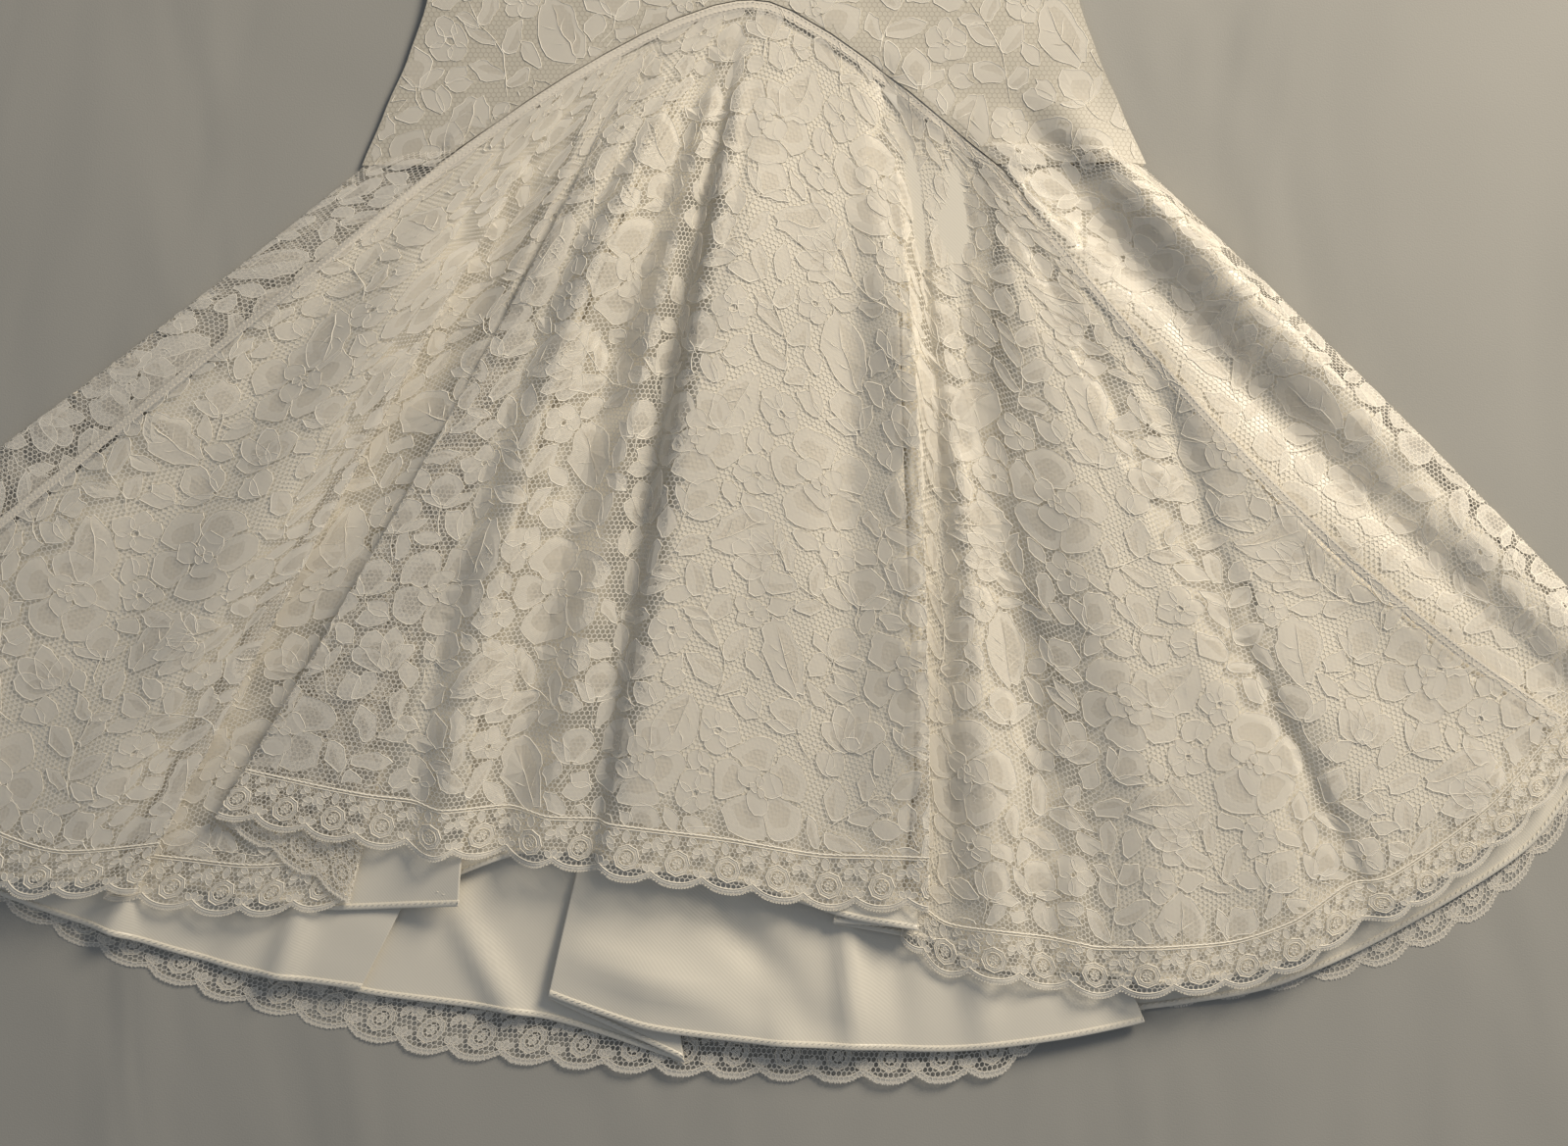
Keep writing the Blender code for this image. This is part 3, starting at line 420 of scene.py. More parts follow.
BACK_LACE_FOLDS = (
    Fold("left side seam", -210, -427, -290, -643, -464, 9.4, 7.0, 7.0),
    Fold("left gore", -238, -440, -273, -660, -444, 7.8, 7.2, 7.2),
    Fold("left edge", -261, -450, -259, -680, -425, 4.6, 5.4, 5.4),
    Fold("left edge low", -262, -451, -258, -681, -424, 1.8, 2.0, 2.0),
    Fold("left underside", -252, -444, -266, -671, -436, 0.6, 0.6, 0.6),
    Fold("left flat", -215, -405, -340, -636, -500, 0.6, 0.6, 0.6),
    Fold("left hem", -180, -360, -368, -574, -572, 0.6, 0.6, 0.6),
    Fold("left tip", -145, -310, -381, -508, -609, 0.6, 0.6, 0.6),
    Fold("left sweep", -110, -250, -388, -442, -641, 0.6, 0.6, 0.6),
    Fold("left swell", -75, -190, -394, -372, -668, 0.6, 0.6, 1.6),
    Fold("left ripple", -45, -138, -401, -300, -688, 0.6, 0.6, 0.6),
    Fold("middle rise", -20, -85, -401, -224, -708, 0.6, 0.6, 2.0),
    Fold("middle dip", 5, -39, -401, -145, -716, 0.6, 0.6, 2.2),
    Fold("middle swell", 30, 7, -401, -60, -722, 0.6, 0.6, 4.6),
    Fold("middle hollow", 55, 53, -401, 20, -726, 0.6, 0.6, 2.0),
    Fold("right rise", 80, 106, -401, 100, -728, 0.6, 0.6, 4.8),
    Fold("right end", 100, 150, -394, 168, -721, 0.6, 0.6, 4.0),
    Fold("right tuck", 115, 180, -388, 205, -690, 0.6, 0.6, 0.6),
    Fold("right flat", 135, 215, -381, 262, -680, 0.6, 0.6, 0.6),
    Fold("right hem", 165, 280, -374, 340, -668, 0.6, 0.6, 0.6),
    Fold("right sweep", 195, 330, -354, 420, -650, 0.6, 0.6, 0.6),
    Fold("right ripple", 225, 380, -330, 495, -612, 0.6, 0.6, 0.6),
    Fold("right corner", 245, 410, -305, 560, -540, 0.6, 0.6, 0.6),
    Fold("right underside", 252, 427, -287, 590, -468, 0.6, 0.6, 0.6),
    Fold("right edge low", 262, 438, -281, 601, -450, 1.8, 2.4, 2.4),
    Fold("right edge", 261, 437, -282, 600, -451, 4.6, 6.2, 6.2),
    Fold("right roll", 248, 426, -295, 594, -461, 7.2, 9.4, 9.2),
    Fold("right hollow", 205, 396, -329, 581, -479, 9.2, 7.2, 7.4),
    Fold("right side seam", 165, 371, -353, 566, -496, 9.6, 10.4, 10.2),
)

# %% [markdown]
# ## From the tables to a sheet of cloth
#
# The curve between two rows must not swing past them, or neighbouring layers would cut through each
# other, so its slope is level wherever the numbers turn. Down the cloth, a parabola runs through the
# seam, the half-way point and the hem, and the fold rises from flat within the first part of the way.

# %% Curves through the folds
TENSION = 0.4  # how rounded the cloth runs from one fold to the next
# Shares of the way down: by where folds have risen, and from where they turn to their height at the hem
Way = namedtuple("Way", "rise_by hem_from")
FRONT_WAY = Way(0.3, 0.5)
BACK_LACE_WAY = Way(0.15, 0.8)
BACK_SATIN_WAY = Way(0.4, 0.8)
SEAM_GAP = 0.3
LOWEST_FOLD = 0.6


def smooth(share):
    """Rises from 0 to 1 with level ends."""
    share = min(max(share, 0.0), 1.0)
    return share * share * (3.0 - 2.0 * share)


def slope(before, after):
    """The slope of a curve that never swings past its points: level where they turn."""
    if before * after <= 0.0:
        return 0.0
    steepest = 3.0 * min(abs(before), abs(after))
    return math.copysign(min(TENSION * abs(before + after), steepest), before)


def between(rows, spot):
    """The numbers of a table at a spot between its rows."""
    first = min(int(spot), len(rows) - 2)
    share = spot - first
    values = []
    four_rows = [rows[min(max(k, 0), len(rows) - 1)] for k in range(first - 1, first + 3)]
    for before, here, after, beyond in zip(*four_rows):
        leave = slope(here - before, after - here)
        arrive = slope(after - here, beyond - after)
        turn = 3.0 * (after - here) - 2.0 * leave - arrive
        bend = 2.0 * (here - after) + leave + arrive
        values.append(here + share * (leave + share * (turn + share * bend)))
    return values


def fold_point(row, seam_y, way, share):
    """A point of a fold in millimetres, some share of the way from its seam to its hem."""
    seam_x, mid_x, mid_y, hem_x, hem_y, seam_z, mid_z, hem_z = row
    upper = (1.0 - share) * (1.0 - 2.0 * share)
    middle = 4.0 * share * (1.0 - share)
    lower = share * (2.0 * share - 1.0)
    x = upper * seam_x + middle * mid_x + lower * hem_x
    y = upper * (seam_y(seam_x) - SEAM_GAP) + middle * mid_y + lower * hem_y
    z = seam_z + (mid_z - seam_z) * smooth(share / way.rise_by)
    z += (hem_z - mid_z) * smooth((share - way.hem_from) / (1.0 - way.hem_from))
    return x, y, max(z, LOWEST_FOLD)


# %% [markdown]
# ## The fitted part's outline and the V of the seam
#
# The fitted part narrows to the knees and the waist. A small table of half widths and the two legs of the
# V give its outline; the V is a rounded curve, sewn in straight steps.

# %% Widths, the V seam and the fitted columns
Width = namedtuple("Width", "y half")
WIDTHS = (
    Width(-150, 280), Width(-110, 263), Width(-75, 248), Width(-35, 231), Width(0, 219), Width(50, 212),
    Width(120, 219), Width(200, 238), Width(270, 248), Width(350, 235), Width(400, 209), Width(450, 182),
    Width(520, 190), Width(600, 216), Width(660, 228), Width(880, 228),
)
# Shares of the way from the centre seam to the side, and the top edge of the front and of the back there
Column = namedtuple("Column", "share front_top back_top")
COLUMNS = (
    Column(0.00, 735, 815), Column(0.05, 736, 815), Column(0.12, 742, 818), Column(0.23, 772, 830),
    Column(0.33, 880, 880), Column(0.43, 878, 878), Column(0.53, 872, 872), Column(0.62, 765, 765),
    Column(0.72, 705, 705), Column(0.81, 680, 680), Column(0.90, 666, 666), Column(1.00, 660, 660),
)
SIDE_SEAM_Y = -110.0
CHEVRON_LEFT = (286.0, 170.0, 1.35)  # half width, drop and roundness of the V's left leg
CHEVRON_RIGHT = (222.0, 165.0, 1.20)
CHEVRON_TIP = 15.0
SETTLING = 8  # rounds in which a column's lower corner settles on the seam


def half_width(y):
    """Half the width of the fitted part at a height."""
    for k, (low, high) in enumerate(zip(WIDTHS, WIDTHS[1:])):
        if y <= high.y or high is WIDTHS[-1]:
            share = min(max((y - low.y) / (high.y - low.y), 0.0), 1.0)
            return between([(w.half,) for w in WIDTHS], k + share)[0]


def chevron_curve(x):
    """The height of the V seam as it is drawn."""
    half, drop, roundness = CHEVRON_LEFT if x < 0 else CHEVRON_RIGHT
    along = math.hypot(x, CHEVRON_TIP) - CHEVRON_TIP
    return -drop * (along / (math.hypot(half, CHEVRON_TIP) - CHEVRON_TIP)) ** roundness


def lower_corner(side, share):
    """Where a column of the fitted front ends: on the V, or on the straight seam outside it."""
    x, y = 0.0, 0.0
    for _ in range(SETTLING):
        x = side * share * half_width(y)
        y = max(chevron_curve(x), SIDE_SEAM_Y)
    return x, y


LOWER_CORNERS = {side: [lower_corner(side, column.share) for column in COLUMNS] for side in (-1, 1)}


def chevron_y(x):
    """The height of the V seam as it is sewn, straight between the columns of the fitted front."""
    corners = LOWER_CORNERS[-1 if x < 0 else 1]
    for (x1, y1), (x2, y2) in zip(corners, corners[1:]):
        if abs(x) <= abs(x2) and y2 > SIDE_SEAM_Y:
            return y1 + (y2 - y1) * (x - x1) / (x2 - x1)
    return chevron_curve(x)


def satin_seam_y(x):
    """The upper edge of the front satin, which runs on under the strip of back lace on the right."""
    return max(chevron_y(x), SIDE_SEAM_Y)


def side_seam_y(x):
    """The upper edge of the flounce's back, level at every x."""
    return SIDE_SEAM_Y - SEAM_GAP


# %% [markdown]
# ## A fine grid of points and its flat cut
#
# Each cloth is a grid: columns run down its spokes, rows cross them, close enough together that folds look
# round. A maker cuts such a flounce from flat cloth as part of a ring, so the script works out that cut
# too. The hem's true length and the seam's give a first ring. Then each point is moved a little, again and
# again, until the threads between neighbours have nearly the length they have in the folded cloth: from a
# coarse grid to the full one, so that large errors go first. The flat place of each point is kept as its
# UV, so the net and the flowers keep about their true size in every fold.

# %% Flat cut and sheet
Cut = namedtuple("Cut", "flat width length area")
GRID_STEPS = (16, 8, 4, 2, 1)  # every so many rows and columns take part, coarse first
COARSE_ROUNDS, FINE_ROUNDS = 240, 60
OVERSHOOT = 1.6  # moves points further than they ask for, which settles them sooner


def along_rows(points):
    """The distance from the left end along each row."""
    steps = np.linalg.norm(np.diff(points, axis=1), axis=2)
    return np.concatenate([np.zeros((len(points), 1)), np.cumsum(steps, axis=1)], axis=1)


def quads_area(flat):
    """The area of a grid of flat points, in square metres."""
    one, two = flat[1:, 1:] - flat[:-1, :-1], flat[1:, :-1] - flat[:-1, 1:]
    return float(np.abs(one[..., 0] * two[..., 1] - one[..., 1] * two[..., 0]).sum() / 2.0 * MM * MM)


def first_ring(points):
    """A flat ring with the hem's true length, each point at its true distance from the hem."""
    hem = along_rows(points)[-1]
    seam_length = along_rows(points)[0][-1]
    to_hem = along_rows(points[::-1].transpose(1, 0, 2)).T[::-1]
    angle = (hem[-1] - seam_length) / to_hem[0].mean()
    radius = hem[-1] / angle
    turn = (hem - hem[-1] / 2.0) / radius
    out = radius - to_hem
    return np.stack([out * np.sin(turn), radius - to_hem[0].mean() / 2.0 - out * np.cos(turn)], axis=2)


def evened(flat, across, down, rounds):
    """Moves flat points until neighbours are as far apart as they should be, corner to corner too."""
    corner = np.hypot((across[1:] + across[:-1]) / 2.0, (down[:, 1:] + down[:, :-1]) / 2.0)
    every, early, late = slice(None), slice(None, -1), slice(1, None)
    links = (((every, early), (every, late), across), ((early, every), (late, every), down),
             ((early, early), (late, late), corner), ((early, late), (late, early), corner))
    share = np.zeros(flat.shape[:2])
    for a, b, _ in links:
        share[a] += 1.0
        share[b] += 1.0
    for _ in range(rounds):
        push = np.zeros(flat.shape)
        for a, b, length in links:
            line = flat[b] - flat[a]
            now = np.maximum(np.linalg.norm(line, axis=2), 0.001)
            step = line * ((now - length) / now / 2.0)[..., None]
            push[a] += step
            push[b] -= step
        flat = flat + push / share[..., None] * OVERSHOOT
    return flat


def filled_in(values, known, count):
    """Values known at some numbers of their first axis, with all those between them filled in."""
    lines = [np.interp(range(count), known, line) for line in values.reshape(len(values), -1).T]
    return np.array(lines).T.reshape(count, *values.shape[1:])


def flat_cut(points):
    """The flat cut of a flounce's cloth, from a grid of its points."""
    flat = first_ring(points)
    across, down = along_rows(points), along_rows(points.transpose(1, 0, 2)).T
    for step in GRID_STEPS:
        rows = np.unique(np.append(np.arange(0, len(points), step), len(points) - 1))
        columns = np.unique(np.append(np.arange(0, points.shape[1], step), points.shape[1] - 1))
        some = np.ix_(rows, columns)
        across_some, down_some = np.diff(across[some], axis=1), np.diff(down[some], axis=0)
        moved = evened(flat[some], across_some, down_some, COARSE_ROUNDS if step > 1 else FINE_ROUNDS)
        shift = (moved - flat[some]).transpose(1, 0, 2)
        shift = filled_in(shift, columns, points.shape[1]).transpose(1, 0, 2)
        flat = flat + filled_in(shift, rows, len(points))
    flat = flat - (flat.reshape(-1, 2).max(0) + flat.reshape(-1, 2).min(0)) / 2.0
    size = np.ptp(flat.reshape(-1, 2), axis=0)
    return Cut(flat, size[0] * MM, size[1] * MM, quads_area(flat))


def truth(points, flat):
    """How much longer the flat threads are than the folded ones: low, middle and high shares."""
    ratios = []
    for axis in (0, 1):
        folded = np.linalg.norm(np.diff(points, axis=axis), axis=2)
        laid = np.linalg.norm(np.diff(flat, axis=axis), axis=2)
        ratios.append((laid / np.maximum(folded, 0.01)).ravel())
    return [[round(float(v), 2) for v in np.percentile(r, (5, 50, 95))] for r in ratios]


def sheet_object(name, points, flat, materials, flip=False):
    """A thin sheet of cloth through a grid of points, with its flat cut as UV."""
    rows, columns = points.shape[:2]
    number = np.arange(rows * columns).reshape(rows, columns)
    corners = [number[:-1, :-1], number[1:, :-1], number[1:, 1:], number[:-1, 1:]]
    faces = np.stack([c.ravel() for c in (corners[::-1] if flip else corners)], axis=1)
    mesh = bpy.data.meshes.new(name)
    mesh.from_pydata(in_metres(points.reshape(-1, 3)).tolist(), [], faces.tolist())
    layer = mesh.uv_layers.new(name=FLAT_MAP)
    places = flat.reshape(-1, 2)[faces.ravel()] / UV_SPAN + 0.5
    layer.data.foreach_set("uv", places.ravel())
    mesh.shade_smooth()
    for material in materials:
        mesh.materials.append(material)
    return new_object(name, mesh)


def print_cut(piece, cut, points):
    """Prints a cloth's faces, its flat cut and how true that is to the folded cloth."""
    size = [round(number, 3) for number in (cut.width, cut.length, cut.area)]
    print(piece.name, len(piece.data.polygons), "faces, cut", *size, "m2, true to", truth(points, cut.flat))


# %% [markdown]
# ## Creases that the folds' table doesn't hold
#
# Satin shows where it was handled: short slanting dents, a soft ridge from a seam below. Each is one line
# in the plan with its own width and height. Those on top are added to the lace and to the satin just below
# it alike, so that neither comes through the other, and the satin of the back has its own. A little
# waviness, the sum of a few long waves across the plan, keeps the panels between the folds from looking
# ironed.

# %% Creases and waviness
FULLER, FULLER_FROM = 0.32, 8.5  # folds are higher by this share of what is above this height
LOWEST, HIGHEST = 0.35, 34.0
EASE_WIDTH = 32.0
EASE_MOST, EASE_LEVEL_TO, EASE_OVER = 0.85, 0.35, 0.6  # how level, how far down, and the share it ends over
WAVE_LENGTHS = (150.0, 95.0, 60.0, 41.0)
WAVES_EACH = 3
CREASE_END, CREASE_LENGTH = 0.12, 0.76  # the part of a half wave over which a crease rises and falls
Crease = namedtuple("Crease", "name x1 y1 x2 y2 width height")
BACK_SATIN_CREASES = (
    Crease("long slanting ridge", -112, -640, 20, -690, 13, 6.7),
    Crease("dent below it", -60, -668, 60, -690, 12, -4.0),
    Crease("left dent", -30, -600, 28, -668, 13, -5.2),
    Crease("upright ridge", 62, -600, 66, -700, 9, 5.8),
    Crease("upright dent", 92, -610, 96, -695, 12, -3.4),
    Crease("right ridge", 150, -610, 152, -690, 11, 4.8),
    Crease("short ridge", -206, -600, -150, -700, 10, 5.8),
    Crease("small dent", 200, -640, 240, -676, 11, -2.4),
    Crease("left ridge", -286, -560, -334, -700, 10, 6.7),
    Crease("left hollow", -340, -560, -388, -690, 12, -2.9),
    Crease("far left ridge", -396, -540, -452, -680, 12, 8.0),
    Crease("far left hollow", -452, -530, -520, -660, 14, -1.8),
    Crease("corner ridge", -500, -520, -560, -620, 10, 5.8),
)
TOP_CREASES = (
    Crease("broad panel dent", -430, -420, -380, -540, 24, -1.6),
    Crease("side dent", -470, -400, -540, -470, 20, -1.8),
    Crease("side ridge", -380, -250, -480, -400, 16, 2.0),
    Crease("valley after the first fold", -118, -80, -246, -300, 13, -2.4),
    Crease("thin ridge beside it", -48, -30, -150, -200, 7, 3.4),
    Crease("short dent beside that", -78, -90, -150, -190, 8, -2.0),
    Crease("dent by the knee", -102, -226, -76, -242, 9, -3.4),
    Crease("brown valley, upper part", 2, -50, -36, -250, 8, -3.0),
    Crease("centre dent", 10, -240, -6, -520, 16, -1.0),
    Crease("grey trough", 76, -95, 54, -540, 15, -2.0),
    Crease("upright edge, low at its top", 88, -52, 104, -220, 12, -7.0),
    Crease("thin upright ridge", 104, -260, 112, -600, 6, 1.6),
    Crease("low ridge, lower at its top", 106, -80, 134, -290, 10, -6.0),
    Crease("second upright ridge", 128, -330, 148, -620, 10, 2.0),
    Crease("deep valley, upper part", 134, -100, 148, -290, 19, -10.5),
    Crease("deep valley, lower part", 152, -300, 212, -580, 16, -4.6),
    Crease("middle ridge", 185, -240, 262, -560, 20, 2.0),
    Crease("hollow above the slit", 258, -230, 318, -400, 12, -5.4),
    Crease("slit", 322, -420, 408, -592, 4, -3.2),
    Crease("long bright ridge, upper part", 174, -116, 326, -302, 24, 6.5),
    Crease("long bright ridge, lower part", 326, -302, 536, -466, 25, 6.5),
    Crease("right panel dent", 380, -400, 440, -490, 26, -2.6),
    Crease("right panel low ridge", 420, -490, 500, -520, 16, 1.2),
    Crease("outer roll, upper part", 236, -108, 427, -290, 10, 4.6),
    Crease("outer roll, lower part", 427, -290, 590, -458, 10, 4.6),
    Crease("hollow beside the ridge, upper part", 178, -74, 268, -192, 15, -6.0),
    Crease("hollow beside the ridge, lower part", 268, -192, 470, -390, 13, -4.0),
    Crease("its inner side, upper part", 208, -80, 416, -300, 20, 15.0),
    Crease("its inner side, lower part", 416, -304, 580, -470, 15, 11.0),
    Crease("dent in the outer roll", 330, -196, 356, -236, 10, -3.0),
    Crease("second dent in the roll", 452, -318, 474, -350, 10, -2.4),
)


def creased(points, creases):
    """The points with each crease added to their height."""
    points = points.copy()
    for crease in creases:
        start = np.array((crease.x1, crease.y1), float)
        along = np.array((crease.x2, crease.y2), float) - start
        away = points[..., :2] - start
        share = np.clip((away @ along) / (along @ along), 0.0, 1.0)
        distance = np.linalg.norm(away - share[..., None] * along, axis=-1)
        fade = np.sin(np.pi * (CREASE_END + CREASE_LENGTH * share))
        points[..., 2] += crease.height * fade * np.exp(-((distance / crease.width) ** 2))
    return points


def lofted(points):
    """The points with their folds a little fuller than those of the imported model's plain walls."""
    points = points.copy()
    points[..., 2] += FULLER * np.maximum(points[..., 2] - FULLER_FROM, 0.0)
    return points


def eased(points, spots, first):
    """Folds from one number on, level near their seam and at their full height only at the hem."""
    points = points.copy()
    columns = np.asarray(spots) >= first
    part = points[:, columns]
    away = np.linalg.norm(part[:, :, None, :2] - part[:, None, :, :2], axis=3)
    weights = np.exp(-((away / EASE_WIDTH) ** 2))
    level = (weights * part[:, None, :, 2]).sum(2) / weights.sum(2)
    share = np.linspace(0.0, 1.0, len(points))[:, None]
    fade = EASE_MOST * (1.0 - np.clip((share - EASE_LEVEL_TO) / EASE_OVER, 0.0, 1.0) ** 2)
    start = np.clip((np.asarray(spots)[columns] - first) / 2.0, 0.0, 1.0)
    points[:, columns, 2] += (level - part[..., 2]) * fade * start
    return points


def waved(points, height, seed):
    """The points with a little waviness, the same for each run."""
    points = points.copy()
    draws = np.random.default_rng(seed)
    for length in WAVE_LENGTHS:
        for _ in range(WAVES_EACH):
            turn, start = draws.uniform(0.0, 2.0 * math.pi, 2)
            along = points[..., 0] * math.cos(turn) + points[..., 1] * math.sin(turn)
            wave = np.sin(along * 2 * math.pi / length + start)
            points[..., 2] += height * length / WAVE_LENGTHS[0] * wave * 0.5
    points[..., 2] = np.clip(points[..., 2], LOWEST, HIGHEST)
    return points


# %% [markdown]
# ## The lace of the front and of the back
#
# The front lace is the fan that fills the photo. The back lace starts at the left side seam, goes round
# the left edge, under everything and back up at the right, so the two strips beside the front fan are its
# own. The last 38 mm above each hem are an edging of their own, whose lower edge runs in scallops. The
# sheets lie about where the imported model's walls are.

# %% Front and back lace, down to where the edging is sewn on
EDGING_WIDTH = 38.0  # from the hem up to the line where the edging is sewn on
EDGING_LAP, LACE_LAP = 0.8, 0.5  # how far the edging runs up over that line, and the lace down under it
SCALLOP = 35.0
SCALLOP_DEPTH = 6.0
WAVE = 0.5  # height of the waviness
TOP_WAVES, BACK_WAVES = 3, 4  # one seed for all that lies on top, so its layers wave together
LACE_STEP, BACK_LACE_STEP, SATIN_STEP, EDGING_STEP = 4.5, 7.0, 5.0, 3.0  # between spokes, along the hem
LACE_ROWS, BACK_LACE_ROWS, SATIN_ROWS = 76, 60, 64
FRONT_LACE_LIFT, SATIN_LIFT = -0.5, 0.5
Laid = namedtuple("Laid", "spots columns lengths seam_y way lift")


def laid_cloth(folds, seam_y, way, step, lift):
    """A flounce's cloth with its spokes a step apart at the hem, ready to give points."""
    rows = [fold[1:] for fold in folds]
    spots = []
    for k in range(len(rows) - 1):
        ends = [np.array(fold_point(rows[j], seam_y, way, 1.0)) for j in (k, k + 1)]
        pieces = max(2, math.ceil(np.linalg.norm(ends[1] - ends[0]) / step))
        spots += [k + j / pieces for j in range(pieces)]
    spots.append(len(rows) - 1)
    columns = [between(rows, spot) for spot in spots]
    lengths = np.array([math.hypot(c[3] - c[0], c[4] - seam_y(c[0])) for c in columns])
    return Laid(spots, columns, lengths, seam_y, way, lift)


def points_at(cloth, shares):
    """Rows of points of a cloth, from shares with a row for each of them and a number for each column."""
    rows = [[fold_point(c, cloth.seam_y, cloth.way, s) for c, s in zip(cloth.columns, row)] for row in shares]
    return np.array(rows) + (0.0, 0.0, cloth.lift)


def even_shares(cloth, rows, trim=0.0, lap=0.0):
    """Shares for even rows, from a lap above the seam to a distance short of the hem."""
    down = np.linspace(0.0, 1.0, rows)[:, None]
    return down * (1.0 - trim / cloth.lengths) - (1.0 - down) * lap / cloth.lengths


def shaped(points):
    """The points of a cloth that lies on top, with fuller folds, hand-laid creases and waviness."""
    return waved(creased(lofted(points), TOP_CREASES), WAVE, TOP_WAVES)


def fold_number(folds, name):
    """The number of a fold in its table."""
    return [fold.name for fold in folds].index(name)


front_lace_cloth = laid_cloth(FRONT_LACE_FOLDS, chevron_y, FRONT_WAY, LACE_STEP, FRONT_LACE_LIFT)
LACE_EASED_FROM = fold_number(FRONT_LACE_FOLDS, "upright under")
front_lace_points = points_at(
    front_lace_cloth, even_shares(front_lace_cloth, LACE_ROWS, EDGING_WIDTH - LACE_LAP))
front_lace_points = shaped(eased(front_lace_points, front_lace_cloth.spots, LACE_EASED_FROM))
front_lace_cut = flat_cut(front_lace_points)
lace_front = sheet_object("lace_front", front_lace_points, front_lace_cut.flat, [net_lace])

back_lace_cloth = laid_cloth(BACK_LACE_FOLDS, side_seam_y, BACK_LACE_WAY, BACK_LACE_STEP, 0.0)
STRIP_LAP = 15.0  # how far the two strips lie on the fitted part, where their flowers are sewn down


def on_top(spots):
    """1 for the columns of the two strips that lie on top, 0 for those of the underside."""
    left = fold_number(BACK_LACE_FOLDS, "left edge")
    right = fold_number(BACK_LACE_FOLDS, "right edge")
    return np.interp(spots, (left - 1, left, right, right + 1), (1.0, 0.0, 0.0, 1.0))


def strip_folds(points, cloth):
    """The back lace's points, with its two strips shaped like the front beside them."""
    share = on_top(cloth.spots)[None, :, None]
    return points + (shaped(points) - points) * share


back_lace_points = points_at(back_lace_cloth, even_shares(
    back_lace_cloth, BACK_LACE_ROWS, EDGING_WIDTH - LACE_LAP,
    STRIP_LAP * on_top(back_lace_cloth.spots)))
back_lace_points = strip_folds(back_lace_points, back_lace_cloth)
back_lace_cut = flat_cut(back_lace_points)
lace_back = sheet_object("lace_back", back_lace_points, back_lace_cut.flat, [net_lace], flip=True)
print_cut(lace_front, front_lace_cut, front_lace_points)
print_cut(lace_back, back_lace_cut, back_lace_points)

# %% [markdown]
# ## The two linings of satin
#
# The flounce has two layers of satin under its lace: a front one that ends near the lace's hem and shows
# below it in two flaps, and a back one that is longer and makes the small train. Lace is limp and rests on
# the satin's ridges, so the front lining is raised until it nearly touches the lace above it, and only the
# valleys between the ridges stay dark. The room above each point is measured with a ray.

# %% Front and back lining
CLOSE = 0.4  # the gap that stays between satin and what lies on it
JUST_ABOVE = 0.05  # where a ray starts, so that it doesn't meet the satin itself
RAY_REACH = 0.03  # metres
MOST_RAISED = 7.0
LOWEST_SATIN = 3.2
THROUGH = {"front": 10.0, "back": 3.5}  # how far through each lace the satin may be and is lowered again
# Folds of the front lining that stay deep, because the lace above them hangs free between two ridges
OPEN_FOLDS = (
    "under first fold", "first valley", "sheer valley", "brown valley", "deep valley", "net trough", "slit",
)


def mesh_tree(*pieces):
    """A search tree of the faces of some pieces, in metres."""
    corners, faces = [], []
    for piece in pieces:
        first = len(corners)
        corners += [corner.co[:] for corner in piece.data.vertices]
        faces += [[first + i for i in face.vertices] for face in piece.data.polygons]
    return BVHTree.FromPolygons(corners, faces)


def room_above(spot, roof, laces):
    """How far a spot can go up to the next cloth, or, below zero, has to go down to be under the lace."""
    start = Vector(in_metres(spot + (0.0, 0.0, JUST_ABOVE)))
    for name, lace in laces.items():
        under = lace.ray_cast(start, Vector((0.0, 0.0, -1.0)), THROUGH[name] * MM)
        if under[0]:
            return -under[3] / MM - CLOSE
    above = roof.ray_cast(start, Vector((0.0, 0.0, 1.0)), RAY_REACH)
    return min(max(above[3] / MM - CLOSE, 0.0), MOST_RAISED) if above[0] else 0.0


def raised_below(points, roof, shares, laces):
    """The points raised a share of the way to what is above, or lowered where they came through lace."""
    rows, columns = points.shape[:2]
    room = np.full((rows, columns), MOST_RAISED)
    for down, right in ((0.0, 0.0), (0.5, 0.0), (0.0, 0.5), (0.5, 0.5)):
        high, wide = rows - math.ceil(down), columns - math.ceil(right)
        spots = points[:high, :wide] * (1 - down) * (1 - right)
        spots = spots + points[rows - high :, :wide] * down * (1 - right)
        spots = spots + points[:high, columns - wide :] * (1 - down) * right
        spots = spots + points[rows - high :, columns - wide :] * down * right
        found = np.array([[room_above(spot, roof, laces) for spot in row] for row in spots])
        for i in range(math.ceil(down) + 1):
            for j in range(math.ceil(right) + 1):
                part = room[i : i + high, j : j + wide]
                part[:] = np.minimum(part, found)
    for work in (np.min, np.mean, np.mean):
        padded = np.pad(room, 1, mode="edge")
        beside = (padded[:-2, 1:-1], padded[2:, 1:-1], padded[1:-1, :-2], padded[1:-1, 2:])
        room = work([padded[1:-1, 1:-1], *beside], axis=0)
    points = points.copy()
    move = np.where(room < 0.0, room, room * shares)
    points[..., 2] = np.maximum(points[..., 2] + move, LOWEST_SATIN)
    return points


